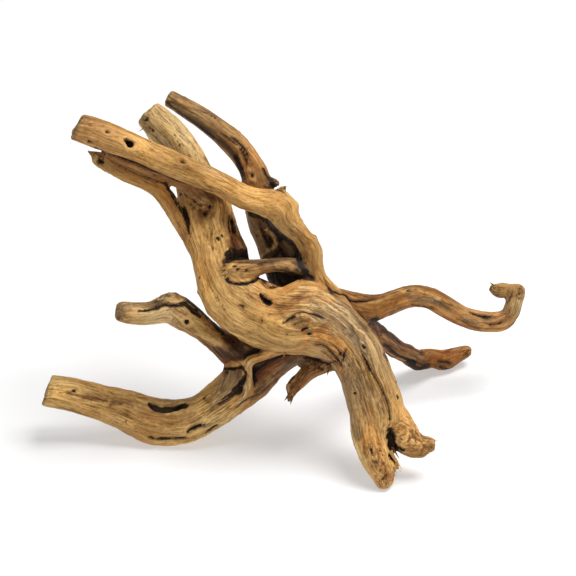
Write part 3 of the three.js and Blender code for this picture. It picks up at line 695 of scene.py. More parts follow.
FOLDS = [
    # half width, height, then the line
    (2.6, 1.2, 244, 186, 256, 190, 268, 194, 284, 199), (3, 0.9, 150, 150, 176, 160, 204, 172),
    (2.6, 0.8, 90, 128, 110, 136, 134, 146), (2.6, 0.9, 296, 214, 306, 230, 314, 246),
    (2.4, 1.6, 228, 365, 247, 361, 259, 356, 274, 352), (2.2, 1.4, 250, 366, 251, 376, 248, 388, 242, 400),
    (1.2, 1.4, 252, 180, 246, 182, 240, 181, 232, 178),
    (1.6, 1.2, 344, 293, 352, 301, 360, 310, 370, 327, 382, 350, 392, 374, 403, 400),
    (1.4, 0.8, 178, 194, 179, 206, 183, 222),
    (2, 1.4, 256, 281.6, 262, 286, 268, 293, 281, 289, 294, 283, 305, 279, 313, 283, 329, 288),
    (1.2, 0.8, 231, 203, 231, 216, 230, 232), (1.6, 1.2, 271, 233, 275, 240, 272, 247),
    (1.4, 1, 280, 265, 288, 267, 293, 272), (1.2, 1.2, 250, 165, 245, 172, 238, 168),
    (1.6, 0.8, 201, 305, 210, 315, 223, 329, 236, 334, 243, 344, 252, 349.5, 268, 352),
]
SPLIT_REACH = 2.4
SPLIT_MARGIN = 3
SPLIT_SLOPE = 0.9
LINE_SLOPE = 2.6
SHADE_SLOPE = 1.8
SPLIT_SHOWS = 0.6
SPLIT_SHADE = 0.5
FULL_SPLIT = 0.8
WIDE_SPLIT = 3
NO_SPLIT = 9.0
FOLD_REACH = 3
FOLD_MARGIN = 2
DIES_OUT = -0.05
SPLIT_ENDS = 0.25
FOLD_ENDS = 0.2
split_side = np.full(points_total, NO_SPLIT)
split_half = np.zeros(points_total)
groove = np.zeros(points_total)
groove_shade = np.zeros(points_total)
for half, depth, *line in SPLITS:
    near, signed, share = beside(line, half * SPLIT_REACH + SPLIT_MARGIN)
    taper = between(np.minimum(share, 1 - share), DIES_OUT, SPLIT_ENDS)
    groove[near] = np.maximum(groove[near], depth * taper * hump(signed, half + SPLIT_SLOPE))
    closer = (np.abs(signed) < np.abs(split_side[near])) & (np.abs(signed) < half + LINE_SLOPE)
    split_side[near[closer]] = signed[closer]
    split_half[near[closer]] = (half < WIDE_SPLIT) * SPLIT_SHOWS * (half * taper)[closer]
    strength = SPLIT_SHADE * min(1, half / FULL_SPLIT)
    shade = strength * taper * (half < WIDE_SPLIT) * hump(signed, half + SHADE_SLOPE)
    groove_shade[near] = np.maximum(groove_shade[near], shade)
for half, height, *line in FOLDS:
    near, signed, share = beside(line, half * FOLD_REACH + FOLD_MARGIN)
    taper = between(np.minimum(share, 1 - share), DIES_OUT, FOLD_ENDS)
    relief[near] += height * taper * hump(signed, half)

# Nubs and dents: round lumps of bark and hollows where a piece has come away, which show along the
# root's outline.
NUBS = [
    # across, down, radius, height, which is below zero for a dent
    (297, 204, 5, 2), (315, 237, 3.2, 2.4), (321.5, 254, 2.4, 1.4), (268, 173, 6, -1.6), (187, 127, 9, -2),
    (192, 294, 2.6, 1.6), (176, 293, 3, 1.2), (412, 347, 7, 1.6), (206, 301, 5, 1.6), (214, 312, 5, 1.6),
    (300, 366, 3.4, 1.4), (166, 442, 12, -1.2), (346, 410, 7, 1), (288, 391, 2.4, 1), (308, 218, 3, 0.8),
    (62, 382, 3, 0.6),
]
for across, down, radius, height in NUBS:
    place, _ = find(across, down)
    relief += height * hump(np.linalg.norm(places - place, axis=1), radius)

# Holes: insect bores, the eyes of lost knots, and short hollows. Every second hidden knot has one
# too. They are sunk into the skin together with the relief and the splits.
HOLES = [
    # across, down, half length along the grain, half width across it, depth
    (129.4, 145.3, 4.2, 2.4, 5), (107.4, 132.5, 2.4, 1.3, 1.6), (182.9, 162, 2.6, 1.8, 3.4),
    (149.8, 140.2, 2.6, 1, 1.8), (82.4, 118.8, 2, 1.4, 1.8), (89.6, 141.7, 2.2, 1.2, 1.8),
    (101.3, 161.6, 3.2, 1.8, 2.6), (146.7, 119.3, 1.8, 1.5, 2), (152.8, 130, 1.4, 1.2, 2),
    (218, 238.6, 2.2, 1.5, 3), (221.6, 236, 1.6, 1.2, 2.6), (181, 194, 1.4, 1.1, 2),
    (210, 207, 1.8, 1.2, 2.2), (186.6, 322, 2.6, 2, 2.8), (73.7, 390.8, 1.8, 1.3, 1.8),
    (252, 175.7, 1.9, 1.7, 2.6), (238, 269.5, 1.8, 1.4, 2.6), (246.5, 270.5, 1.7, 1.3, 2.2),
    (235, 265.8, 1.6, 1, 2), (355, 393, 1.6, 1, 1.2), (398, 397.5, 3, 1.6, 1.2), (364, 347, 2.4, 1.4, 0.8),
    (151, 437, 2.2, 1.2, 1.6), (126, 421, 1.4, 1, 1.2), (229, 225, 7, 1.8, 4), (257.4, 236, 1.6, 1.4, 2),
    (259, 250, 1.8, 1.6, 2),
]
EYE_LENGTH = 0.7
EYE_WIDTH = 0.5
HOLE_REACH = 2.5
HOLE_RAGGED = 0.28
HOLE_CELL = 2.6
LAST_RUB = 0.12
hole = np.zeros(points_total)
hole_depth = np.zeros(points_total)
hole_places = [(*find(across, down), *sizes) for across, down, *sizes in HOLES]
hole_places += [(place, normal, EYE_LENGTH * radius, EYE_WIDTH * radius, radius)
                for place, normal, radius, _ in knot_places[len(KNOTS)::2]]
for place, normal, length, width, depth in hole_places:
    offset = places - place
    near = np.where((offset**2).sum(1) < (length * HOLE_REACH) ** 2)[0]
    centre = near[(offset[near] ** 2).sum(1).argmin()]
    way = unit(grain_way[centre] - (grain_way[centre] @ normal) * normal)
    ahead = offset[near] @ way / length
    aside = offset[near] @ np.cross(way, normal) / width
    away = np.hypot(ahead, aside) + HOLE_RAGGED * cloud(places[near] / HOLE_CELL, 13)
    facing = outward[near] @ normal > FACING
    hole[near] = np.maximum(hole[near], between(-away, -1.2, -0.6) * facing)
    hole_depth[near] = np.maximum(hole_depth[near], depth * between(-away, -1.45, -0.3) * facing)

places = places + outward * (relief - groove - hole_depth)[:, None]
places = places + LAST_RUB * (averaged(places) - places)

# Stains, weather, painted shade and painted highlight: washed-out and warm stretches of wood, black
# and brown streaks, which are partly stains and partly painted shade in hollows, holes and under
# limbs, and patches of grey, amber and pale wood, some of them painted highlight on the stem and on
# top edges. Each streak is a stroke with its own colour and strength.
SHADE_AND_STAIN_BLACK = linear(24, 15, 9)
RUST = linear(128, 72, 34)
AMBER = linear(206, 140, 66)
ASH = linear(112, 98, 78)
CHALK = linear(236, 208, 150)
CREAM = linear(210, 172, 110)
MOSS = linear(140, 114, 80)
SCAR = linear(140, 112, 82)
MAHOGANY = linear(100, 56, 30)
SAND = linear(218, 164, 98)
STREAKS = [
    # colour, strength, half width, then the line; later streaks lie over earlier ones
    # Painted shade: the black, umber and earth strokes from here to the line of the twig's top lie in the
    # hollow behind the twig, under the arch's lobe and along the twig's top.
    (SHADE_AND_STAIN_BLACK, 0.95, 3, 264, 170, 269, 177, 273, 184), (SHADE_AND_STAIN_BLACK, 0.9, 1.6, 264, 186, 269, 188),
    (SHADE_AND_STAIN_BLACK, 1, 4, 270, 273, 282, 273, 296, 274, 306, 276), (UMBER, 0.7, 5, 272, 261, 288, 260, 300, 263),
    (EARTH, 0.8, 3, 284, 268, 294, 268, 302, 270), (SHADE_AND_STAIN_BLACK, 1, 6, 266, 280, 276, 281, 284, 281),
    (SHADE_AND_STAIN_BLACK, 1, 3.5, 280, 278, 296, 277, 312, 279), (EARTH, 0.8, 2.6, 240, 260, 256, 261, 272, 260, 290, 259),
    (EARTH, 0.7, 6, 280, 267, 292, 267, 302, 269), (SHADE_AND_STAIN_BLACK, 1, 3.5, 300, 262, 304, 270, 308, 277),
    (CREAM, 0.45, 4, 226, 274, 242, 274, 256, 271), (SHADE_AND_STAIN_BLACK, 0.7, 1.6, 228, 262, 240, 262, 256, 263, 272, 262),
    # On this line and the next, the nut strokes are painted shade along the upper arm's lower side.
    (TAN, 0.6, 3, 278, 265, 286, 264, 293, 266), (NUT, 0.55, 5, 196, 186, 216, 192, 236, 202, 252, 212),
    (NUT, 0.5, 4, 84, 146, 110, 155, 140, 165, 172, 176), (AMBER, 0.4, 4, 246, 186, 262, 191, 280, 195),
    (NUT, 0.5, 6, 270, 286, 290, 284, 310, 287, 326, 292), (UMBER, 0.7, 5, 228, 245, 240, 246),
    # The black strokes on this line and the next are painted shadow above the twig's free end.
    (SHADE_AND_STAIN_BLACK, 1, 3.6, 227, 254, 233, 251, 239, 255, 244, 252, 250, 256),
    (SHADE_AND_STAIN_BLACK, 0.9, 4, 224, 262, 232, 256, 240, 257), (MOSS, 0.8, 8, 250, 222, 254, 236, 260, 250),
    (SHADE_AND_STAIN_BLACK, 0.95, 4, 251, 213, 260, 216, 269, 222, 275, 230),
    (CREAM, 0.8, 2.6, 267, 229, 274, 236, 275, 246, 268, 250),
    (SHADE_AND_STAIN_BLACK, 0.95, 2.6, 274, 228, 279, 238, 282, 247, 275, 256),
    (MOSS, 0.7, 4.5, 284, 245, 289, 248, 292, 254), (PALE, 0.6, 1.8, 262, 256, 268, 251),
    (SHADE_AND_STAIN_BLACK, 0.95, 3, 283, 236, 292, 243, 298, 250, 299, 260), (SHADE_AND_STAIN_BLACK, 0.9, 1.6, 229, 216, 229, 225, 230, 232),
    (BROWN, 0.6, 5, 236, 216, 236, 226), (RUST, 0.5, 6, 234, 240, 244, 242),
    (UMBER, 0.6, 6, 205, 196, 209, 202, 208, 206), (BROWN, 0.7, 6, 200, 216, 204, 219, 208, 216),
    (UMBER, 0.6, 5, 185, 192, 200, 193, 218, 198), (AMBER, 0.4, 3.6, 200, 209, 207, 211),
    # The earth strokes of this line and the next three are painted shadow under the stem's lower edge, at
    # the left limb's root.
    (EARTH, 0.95, 7, 228, 333, 236, 338, 244, 345), (EARTH, 0.9, 6, 236, 348, 248, 350, 262, 350),
    (EARTH, 0.9, 4, 222, 354, 236, 357, 246, 354), (SHADE_AND_STAIN_BLACK, 0.95, 4.5, 189, 300, 202, 311, 213, 322, 224, 334),
    (EARTH, 0.6, 2.4, 200, 337, 208, 346), (CREAM, 0.9, 7, 192, 318, 205, 330, 218, 341),
    (EARTH, 0.95, 8, 228, 338, 240, 344, 252, 348), (EARTH, 0.9, 5, 217, 350, 232, 356),
    (SCAR, 0.95, 8, 237, 372, 231, 379, 226, 386), (SCAR, 0.95, 4.5, 224, 388, 219, 395, 212, 402),
    (PALE, 0.6, 2.4, 220, 394, 212, 402), (SHADE_AND_STAIN_BLACK, 1, 2.2, 243, 368, 245, 376, 240, 385, 230, 396),
    (SHADE_AND_STAIN_BLACK, 1, 3.2, 241, 383, 235, 391), (SHADE_AND_STAIN_BLACK, 0.95, 1.8, 223, 368, 232, 368.5, 242, 368),
    (SAND, 0.95, 3.4, 228, 365, 236, 364, 247, 361, 259, 356, 274, 352),
    (PALE, 0.85, 3.6, 249, 362, 251, 372, 250, 382, 245, 392, 240, 405),
    (EARTH, 0.85, 3.4, 276, 380, 266, 388, 254, 398), (RUST, 0.7, 2.4, 246, 349, 252, 349),
    (RUST, 0.5, 2.4, 222, 360, 228, 362), (SAND, 0.75, 14, 372, 440, 380, 465, 388, 485),
    (SAND, 0.75, 12, 402, 432, 416, 440, 430, 446), (SAND, 0.6, 8, 366, 402, 366, 425, 372, 445),
    (HONEY, 0.6, 8, 262, 300, 285, 303, 310, 297, 330, 300),
    (SOOT, 0.85, 4.5, 173, 105, 192, 119, 212, 133, 229, 150, 240, 168),
    (SHADE_AND_STAIN_BLACK, 0.8, 4, 236, 157, 240, 168, 244, 178), (TAN, 0.5, 3, 180, 100, 205, 113, 228, 128, 246, 146),
    (RUST, 0.7, 3.2, 398, 308, 420, 306, 440, 314, 458, 324, 480, 331),
    (ASH, 0.6, 2.2, 430, 298, 446, 308, 462, 318, 478, 322),
    # The straw stroke on this line is painted highlight on the right limb's top edge.
    (STRAW, 0.5, 2.4, 400, 291, 420, 290, 440, 299), (SHADE_AND_STAIN_BLACK, 0.9, 1.6, 139, 311, 148, 311, 156, 309),
    (UMBER, 0.75, 4.5, 136, 305, 146, 305, 156, 304),
    (SHADE_AND_STAIN_BLACK, 0.95, 2.6, 157, 308, 163, 304, 170, 306, 177, 306, 184, 303),
    (EARTH, 0.9, 3.5, 158, 303, 166, 302), (EARTH, 0.8, 1.4, 157, 298, 164, 294, 171, 292, 176, 294),
    (SHADE_AND_STAIN_BLACK, 0.9, 3, 184, 303, 192, 309, 200, 316), (MAHOGANY, 0.9, 8, 258, 374, 268, 364, 284, 358),
    (RUST, 0.5, 4, 258, 380, 266, 372, 278, 365), (EARTH, 0.8, 3, 256, 392, 270, 378, 290, 366),
    (ASH, 0.7, 5, 284, 366, 298, 362, 308, 360), (UMBER, 0.6, 5, 312, 360, 320, 360, 328, 362),
    # The black stroke from 150, 406 and the brown one two lines on from 145, 412 are painted shade in the
    # hollow under the lower left limb's top edge.
    (SHADE_AND_STAIN_BLACK, 0.9, 2.4, 316, 366, 322, 369), (SHADE_AND_STAIN_BLACK, 1, 3, 150, 406, 166, 411, 186, 406),
    (SHADE_AND_STAIN_BLACK, 0.9, 2.2, 188, 432, 196, 428, 204, 426), (SHADE_AND_STAIN_BLACK, 0.8, 2, 206, 434, 214, 430),
    (BROWN, 0.6, 7, 145, 412, 165, 420, 190, 418), (UMBER, 0.9, 1.6, 52, 376, 80, 379, 110, 386, 140, 394),
    (BROWN, 0.4, 4, 84, 395, 110, 398, 135, 403), (AMBER, 0.75, 9, 320, 337, 332, 345, 345, 350),
    (AMBER, 0.6, 5, 336, 360, 341, 370), (AMBER, 0.6, 3.5, 304, 334, 307, 342),
    (RUST, 0.5, 3, 299, 329, 304, 334), (AMBER, 0.55, 4.5, 370, 412, 370, 432, 366, 450),
    (AMBER, 0.4, 4, 376, 440, 382, 462, 386, 478), (SCAR, 0.75, 7, 346, 378, 351, 408, 357, 434),
    (SCAR, 0.5, 9, 356, 382, 372, 394, 384, 406), (SAND, 0.9, 4, 370, 414, 371, 432, 374, 450),
    (RUST, 0.4, 4.5, 378, 464, 386, 472, 392, 480), (BROWN, 0.6, 5, 424, 438, 429, 448),
    (SAND, 0.6, 6, 392, 404, 404, 418, 412, 428), (SHADE_AND_STAIN_BLACK, 0.95, 3, 390, 430, 394, 445, 400, 460),
    (EARTH, 0.7, 3, 352, 326, 352, 334), (ASH, 0.6, 3, 345, 316, 352, 330, 358, 345),
    (ASH, 0.3, 8, 318, 312, 338, 318, 354, 334, 362, 350), (ASH, 0.5, 3.6, 340, 304, 352, 312, 364, 328),
    (DRIFT, 0.6, 10, 350, 360, 357, 380, 362, 400, 360, 420),
    (CHESTNUT, 0.5, 4, 271, 304, 280, 307, 290, 303, 302, 297),
    # The black stroke here and the one on the next line are painted shade in the hollow and a hole; the
    # broad cream strokes on both lines are painted highlight on the stem's front.
    (SHADE_AND_STAIN_BLACK, 1, 3.4, 263, 282, 269, 286.5, 277, 286), (CREAM, 0.4, 16, 222, 290, 238, 318, 262, 336, 285, 345),
    (CREAM, 0.4, 9, 212, 228, 214, 250, 222, 280), (SHADE_AND_STAIN_BLACK, 1, 1.8, 261, 295, 265, 300, 270, 303.5),
    (UMBER, 0.5, 2.2, 280, 312, 288, 320, 294, 316),
    (HONEY, 0.7, 7, 262, 287, 280, 290, 300, 287, 320, 292),
    # The chalk stroke is painted highlight along the ledge's ridge.
    (CHALK, 0.5, 2.4, 300, 288, 318, 290, 334, 298), (SHADE_AND_STAIN_BLACK, 0.7, 5, 374, 320, 380, 322, 386, 324),
    (SHADE_AND_STAIN_BLACK, 0.8, 1.8, 381, 343, 394, 354, 412, 361), (SHADE_AND_STAIN_BLACK, 0.7, 3.4, 384, 352, 392, 358),
    (SHADE_AND_STAIN_BLACK, 0.95, 4.5, 408, 362, 417, 370, 428, 366), (SHADE_AND_STAIN_BLACK, 0.7, 2.4, 440, 367, 447, 369),
    (EARTH, 0.8, 2.2, 438, 362, 446, 363, 453, 365),
    (AMBER, 0.5, 3.4, 400, 303, 418, 306, 438, 311, 458, 318),
    (ASH, 0.6, 2.4, 408, 297, 424, 300, 440, 303), (ASH, 0.8, 3.2, 482, 314, 489, 318),
    (SHADE_AND_STAIN_BLACK, 0.7, 1.6, 486, 317, 489, 318), (SHADE_AND_STAIN_BLACK, 0.7, 2, 178, 112, 196, 124, 213, 137),
    (EARTH, 0.8, 5, 222, 150, 232, 162, 242, 180), (UMBER, 0.8, 2, 256, 186, 262, 188),
    (SHADE_AND_STAIN_BLACK, 0.8, 2, 165, 183, 172, 195, 180, 210, 187, 222), (AMBER, 0.6, 3, 160, 184, 167, 197, 172, 204),
    # The brown and black strokes on this line are painted shadow of the upper arm on the strip below it.
    (BROWN, 0.75, 4, 100, 150, 130, 163, 165, 178, 190, 190), (SHADE_AND_STAIN_BLACK, 0.8, 2.2, 96, 148, 104, 154),
    (ASH, 0.7, 4.5, 125, 301, 128, 306), (BROWN, 0.5, 4, 126, 314, 128, 322),
    (DRIFT, 0.5, 3.6, 206, 168, 226, 176, 236, 178), (HONEY, 0.5, 5, 246, 180, 262, 188, 276, 194),
    (HONEY, 0.4, 5, 300, 214, 306, 228, 312, 240), (RUST, 0.3, 4, 296, 236, 306, 250, 316, 268),
    (RUST, 0.5, 3, 232, 240, 232, 251), (UMBER, 0.9, 2.6, 286, 188, 287, 189),
]
WASHED = 0.34
COOLED = np.array((0.0, 0.08, 0.22))
RIM_MOTTLE = 0.35
RIM_GRIT = 0.4
RIM_CELL = 3.4
STREAK_REACH = 1.7
STREAK_RIM = 1.25
STREAK_FULL = 0.6
HIDES_BLACK = 0.8
colour = np.zeros((points_total, 3))
black_shade_and_stain = np.zeros(points_total)
for number, limb in enumerate(LIMBS.values()):
    tones = np.array(limb["colours"])
    spots = np.linspace(0, 1, len(tones))
    mixed = np.stack([np.interp(shares[number], spots, channel) for channel in tones.T], 1)
    colour += closeness[number, :, None] * mixed
ragged_rim = RIM_MOTTLE * with_grain(9, 5, 21) + RIM_GRIT * cloud(places / RIM_CELL, 19)
colour *= 1 + WASHED * with_grain(20, 3, 51)[:, None]
colour *= 1 + with_grain(14, 2.5, 55)[:, None] * COOLED
# Black strokes gather apart, as painted shade and stain, and other colours laid on later hide them in part.
for shade, strength, half, *line in STREAKS:
    near, signed, _ = beside(line, half * STREAK_REACH)
    outness = np.abs(signed) / half + ragged_rim[near]
    cover = strength * between(-outness, -STREAK_RIM, -STREAK_FULL)
    if shade is SHADE_AND_STAIN_BLACK:
        black_shade_and_stain[near] = np.maximum(black_shade_and_stain[near], cover)
    else:
        black_shade_and_stain[near] *= 1 - HIDES_BLACK * cover
        colour[near] += (shade - colour[near]) * cover[:, None]

# Sawn ends: flat saw cuts across the limbs, greyer and darker than the skin, with torn fibres.
# The mesh has the cut's shape already, so only its colour and its fibres are added.
CUT_SQUARE = (0.55, 0.85)
CUT_STRETCH = 0.06
CUT_FRAYED = 0.6
CUT_COVER = 0.55
for number, limb in enumerate(LIMBS.values()):
    if limb.get("sawn"):
        endwise = -(outward * along_limb[number]).sum(1)
        face = closeness[number] * between(endwise, *CUT_SQUARE) * (shares[number] < CUT_STRETCH)
        frayed = np.maximum(frayed, CUT_FRAYED * face)
        cover = CUT_COVER * face[:, None]
        colour = colour * (1 - cover) + SCAR * cover

# Painted shade and bare wood: sheltered places, holes, splits, furrows and hollows are darkened as
# painted shade, some bark on the unseen side is scorched, crests are pale as rubbed wear and painted
# highlight, and a few strokes are kept free of the shade, as in the photo.
BARE = [
    # half width, then the line
    (5, 300, 291, 312, 289, 326, 294), (3, 284, 289, 298, 283), (5, 274, 307, 288, 305, 304, 297),
    (8, 250, 214, 254, 232, 260, 248), (3, 268, 230, 275, 240, 273, 248), (4.5, 284, 245, 290, 253),
    (7, 237, 372, 226, 386, 214, 401), (3.5, 230, 365, 247, 361, 268, 354),
    (4, 250, 368, 250, 384, 243, 398),
]
BARE_SHARE = 0.85
SCORCHED = 0.6
SHELTER_RAYS = 36
SHELTER_REACH = 70
SHELTER_STEP = 7
SHELTER_BLURS = 14
RAY_LIFT = 0.6
NEAR_BLURS = 6
WIDE_BLURS = 30
HOLE_SHADE = 0.95
HOLLOW_SHADE = 0.45
FURROW_SHADE = 0.5
VALLEY_SHADE = 0.55
FLAKE_DARK = 0.18
CRUMB_PIT_SHADE = 0.35


def bend(blurs):
    """How far each point lies below the mean of its surroundings, in millimetres."""
    mean = places
    for _ in range(blurs):
        mean = averaged(mean)
    return ((mean - places) * outward).sum(1)


scorched = between(with_grain(7, 8, 61), 0.35, 0.6) * between(cloud(places / 30, 3), -0.1, 0.4)
black_shade_and_stain = np.maximum(black_shade_and_stain, SCORCHED * scorched * between(outward @ INWARD, 0.0, 0.4))
outward = normals()
rough_skin = skin_now()
# Painted shade: rays cast from every seventh point find how open it is, and sheltered points are darkened.
turns = np.arange(SHELTER_RAYS) * math.pi * (3 - math.sqrt(5))
heights = 1 - (np.arange(SHELTER_RAYS) + 0.5) / SHELTER_RAYS
flat = np.sqrt(1 - heights**2)
dome = np.stack((flat * np.cos(turns), flat * np.sin(turns), heights), 1)
open_share = np.zeros(points_total)
counted = np.zeros(points_total)
for index in range(0, points_total, SHELTER_STEP):
    normal = outward[index]
    helper = np.array((1.0, 0, 0)) if abs(normal[0]) < 0.8 else np.array((0, 1.0, 0))
    level = unit(np.cross(normal, helper))
    rays = dome @ np.stack((level, np.cross(normal, level), normal))
    start = Vector(places[index] + RAY_LIFT * normal)
    free = sum(rough_skin.ray_cast(start, Vector(ray), SHELTER_REACH)[0] is None for ray in rays)
    open_share[index] = free / SHELTER_RAYS
    counted[index] = 1
for _ in range(SHELTER_BLURS):
    open_share = open_share * 0.5 + averaged(open_share) * 0.5
    counted = counted * 0.5 + averaged(counted) * 0.5
open_share = open_share / np.maximum(counted, 1e-6)

near_bend = bend(NEAR_BLURS)
# Crests: paled in the shader, partly as rubbed wear and partly as painted highlight.
crest = between(-near_bend, 0.05, 0.8)
# Painted shade: sheltered places, holes, splits, hollows, furrows, wide valleys and the pits between crumbs
# are darkened, flake edges too, and then the black strokes of painted shade and stain are joined in.
dark = between(-open_share, -0.50, -0.08)
dark = np.maximum(dark, HOLE_SHADE * hole)
dark = np.maximum(dark, groove_shade)
dark = dark + HOLLOW_SHADE * between(near_bend, 0.05, 0.9) + FURROW_SHADE * furrow
dark += VALLEY_SHADE * between(bend(WIDE_BLURS), 0.1, 2.4)
dark += FLAKE_DARK * flake_edge + CRUMB_PIT_SHADE * frayed * between(-crumbs, 0.0, 0.9)
for half, *line in BARE:
    near, cover = patch(half, line)
    dark[near] *= 1 - BARE_SHARE * cover
dark = np.clip(np.maximum(dark, black_shade_and_stain), 0, 1)


def keep(mesh, domain, kind, **measures):
    """Stores measures of the mesh's points or corners, for its material to read."""
    field = {"FLOAT": "value", "FLOAT_VECTOR": "vector", "FLOAT_COLOR": "color"}[kind]
    for name, values in measures.items():
        attribute = mesh.attributes.new(name, kind, domain)
        attribute.data.foreach_set(field, np.ascontiguousarray(values, np.float32).ravel())


def corners_of(mesh):
    """The point at each corner of the mesh's faces."""
    found = np.empty(len(mesh.loops), int)
    mesh.loops.foreach_get("vertex_index", found)
    return found


keep(remade, "POINT", "FLOAT_COLOR", wood_colour=np.hstack((colour, np.ones((points_total, 1)))))
keep(remade, "POINT", "FLOAT", wood_dark=dark, wood_crest=crest, wood_frayed=frayed, wood_worn=worn,
     split_side=split_side, split_half=split_half)

# Each face takes the grain of the two limbs nearest to its first corner, and how they share it, so
# that no face stretches from one limb's grain to another's.
face_start = np.empty(len(remade.polygons), int)
face_size = np.empty(len(remade.polygons), int)
remade.polygons.foreach_get("loop_start", face_start)
remade.polygons.foreach_get("loop_total", face_size)
corner_point = corners_of(remade)
first_point = np.repeat(corner_point[face_start], face_size)
near_limb = own[first_point]
next_limb = order[1][first_point]
near_share = closeness[near_limb, corner_point]
next_share = closeness[next_limb, corner_point]
keep(remade, "CORNER", "FLOAT_VECTOR", grain_near=rounds[near_limb, corner_point],
     grain_next=rounds[next_limb, corner_point])
keep(remade, "CORNER", "FLOAT", grain_share=next_share / np.maximum(near_share + next_share, 1e-9))

# The finish of dry root wood: fine long fibres in tan and brown, dark pores, painted shade in the
# splits, pits and hollows, pale crests of rubbed wear and painted highlight. Fibres follow the grain
# that each limb gives.
DEEP_TINT = (0.52, 0.42, 0.27)
PALE_TINT = (1.30, 1.31, 1.32)
FLECK_SCALE = 420.0
REGION_SCALE = 38.0
BUMP_STRENGTH = 0.75
BUMP_DEPTH = 1.4
DULLNESS = 0.45
SHEEN = 0.16


def opaque(tone):
    return (*tone, 1)


class Socket:
    """A node's output that can be used in sums."""

    def __init__(self, tree, output):
        self.tree = tree
        self.output = output

    def take(self, kind, output=0, settings=None, **sockets):
        """Adds a node with its settings, then its sockets' values or links, and takes one output.

        A socket is given by its name, or by its number after an underscore where names repeat.
        """
        made = self.tree.nodes.new(kind)
        for name, value in (settings or {}).items():
            setattr(made, name, value)
        for name, value in sockets.items():
            target = made.inputs[int(name[1:]) if name[0] == "_" else name.replace("_", " ")]
            if isinstance(value, Socket):
                self.tree.links.new(value.output, target)
            else:
                target.default_value = value
        return Socket(self.tree, made.outputs[output])

    def math(self, operation, other=0.0):
        return self.take("ShaderNodeMath", 0, {"operation": operation}, _0=self, _1=other)

    def __add__(self, other):
        return self.math("ADD", other)

    __radd__ = __add__

    def __mul__(self, other):
        return self.math("MULTIPLY", other)

    __rmul__ = __mul__

    def __sub__(self, other):
        return self.math("SUBTRACT", other)

    def __rsub__(self, other):
        return self * -1 + other

    def __abs__(self):
        return self.math("ABSOLUTE")

    def smooth(self, low, high):
        """0 below low, 1 above high, and smooth between them."""
        return self.take("ShaderNodeMapRange", 0, {"interpolation_type": "SMOOTHSTEP"},
                         Value=self, From_Min=low, From_Max=high)

    def mix(self, first, second):
        """The first colour where this is 0 and the second where it is 1."""
        return self.take("ShaderNodeMix", 2, {"data_type": "RGBA"}, _0=self, _6=first, _7=second)

    def blend(self, first, second):
        """The first value where this is 0 and the second where it is 1."""
        return self.take("ShaderNodeMix", 0, {"data_type": "FLOAT"}, _0=self, _2=first, _3=second)

    def tinted(self, tint):
        return self.take("ShaderNodeMix", 2, {"data_type": "RGBA", "blend_type": "MULTIPLY"},
                         _0=1.0, _6=self, _7=opaque(tint))

    def scaled(self, factors):
        return self.take("ShaderNodeVectorMath", 0, {"operation": "MULTIPLY"}, _0=self, _1=factors)

    def noise(self, scale, detail, rough):
        return self.take("ShaderNodeTexNoise", "Fac", None, Vector=self,
                         Scale=scale, Detail=detail, Roughness=rough)


wood = bpy.data.materials.new("root_wood")
wood.use_nodes = True
tree = wood.node_tree
shader = tree.nodes["Principled BSDF"]
sheet = Socket(tree, None)


def kept(name, output="Fac"):
    return sheet.take("ShaderNodeAttribute", output, {"attribute_name": name})


def fibres(width, stretch, detail=2.0, rough=0.55):
    """Noise of the two nearest limbs' grain, shared as the limbs share the surface."""
    scale = (1 / width, 1 / width, 1 / (width * stretch))
    near, beyond = (kept(name, "Vector").scaled(scale).noise(1.0, detail, rough)
                    for name in ("grain_near", "grain_next"))
    return kept("grain_share").blend(near, beyond)


hairs = fibres(1.1, 24)
threads = fibres(2.6, 16)
strands = fibres(4.2, 13, 1.0)
bands = fibres(9.0, 5)
pores = fibres(0.8, 8, 0.0)
grit = fibres(2.0, 2.6, 2.0, 0.6)
shreds = fibres(1.5, 2.6, 4.0, 0.7)
etched = 1 - abs(fibres(2.2, 30, 1.0) - 0.5).smooth(0.0, 0.07)
spot = sheet.take("ShaderNodeTexCoord", "Object")
flecks = spot.noise(FLECK_SCALE, 2.0, 0.6)
regions = spot.noise(REGION_SCALE, 1.0, 0.5)
worn_here = kept("wood_worn")
frayed_here = kept("wood_frayed")
half_split = kept("split_half")

# The wood's own colour: pale and deep fibres, dark flecks, lines and pores.
base = kept("wood_colour", "Color")
strong = regions.smooth(0.38, 0.62) * 0.6 + worn_here * 0.4 + 0.6
tone = hairs * 0.22 + threads * 0.24 + grit * 0.20 + strands * 0.12 + bands * 0.22
body = ((tone - 0.5) * strong + 0.5).smooth(0.40, 0.60).mix(base.tinted(DEEP_TINT), base.tinted(PALE_TINT))
body = ((1 - (flecks * 0.5 + hairs * 0.5).smooth(0.36, 0.50)) * 0.34).mix(body, opaque(UMBER))
lines = (1 - abs(strands - 0.5).smooth(0.0, 0.035)) * bands.smooth(0.42, 0.6) * regions.smooth(0.42, 0.6)
body = (lines * 0.5).mix(body, opaque(UMBER * 0.8))
body = (pores.smooth(0.66, 0.8) * 0.45).mix(body, opaque(UMBER * 0.6))

# Crests paled as rubbed wear and painted highlight, worn growth lines, and frayed wood with painted
# shade in the pits between its pale shreds.
body = (kept("wood_crest") * threads.smooth(0.3, 0.7) * 0.4).mix(body, opaque(STRAW))
body = (worn_here * etched * 0.55).mix(body, opaque(ASH * 0.55))
pits = frayed_here * (1 - shreds.smooth(0.38, 0.52))
body = (pits * 0.62).mix(body, opaque(UMBER))
body = (frayed_here * shreds.smooth(0.54, 0.64) * 0.4).mix(body, opaque(STRAW))

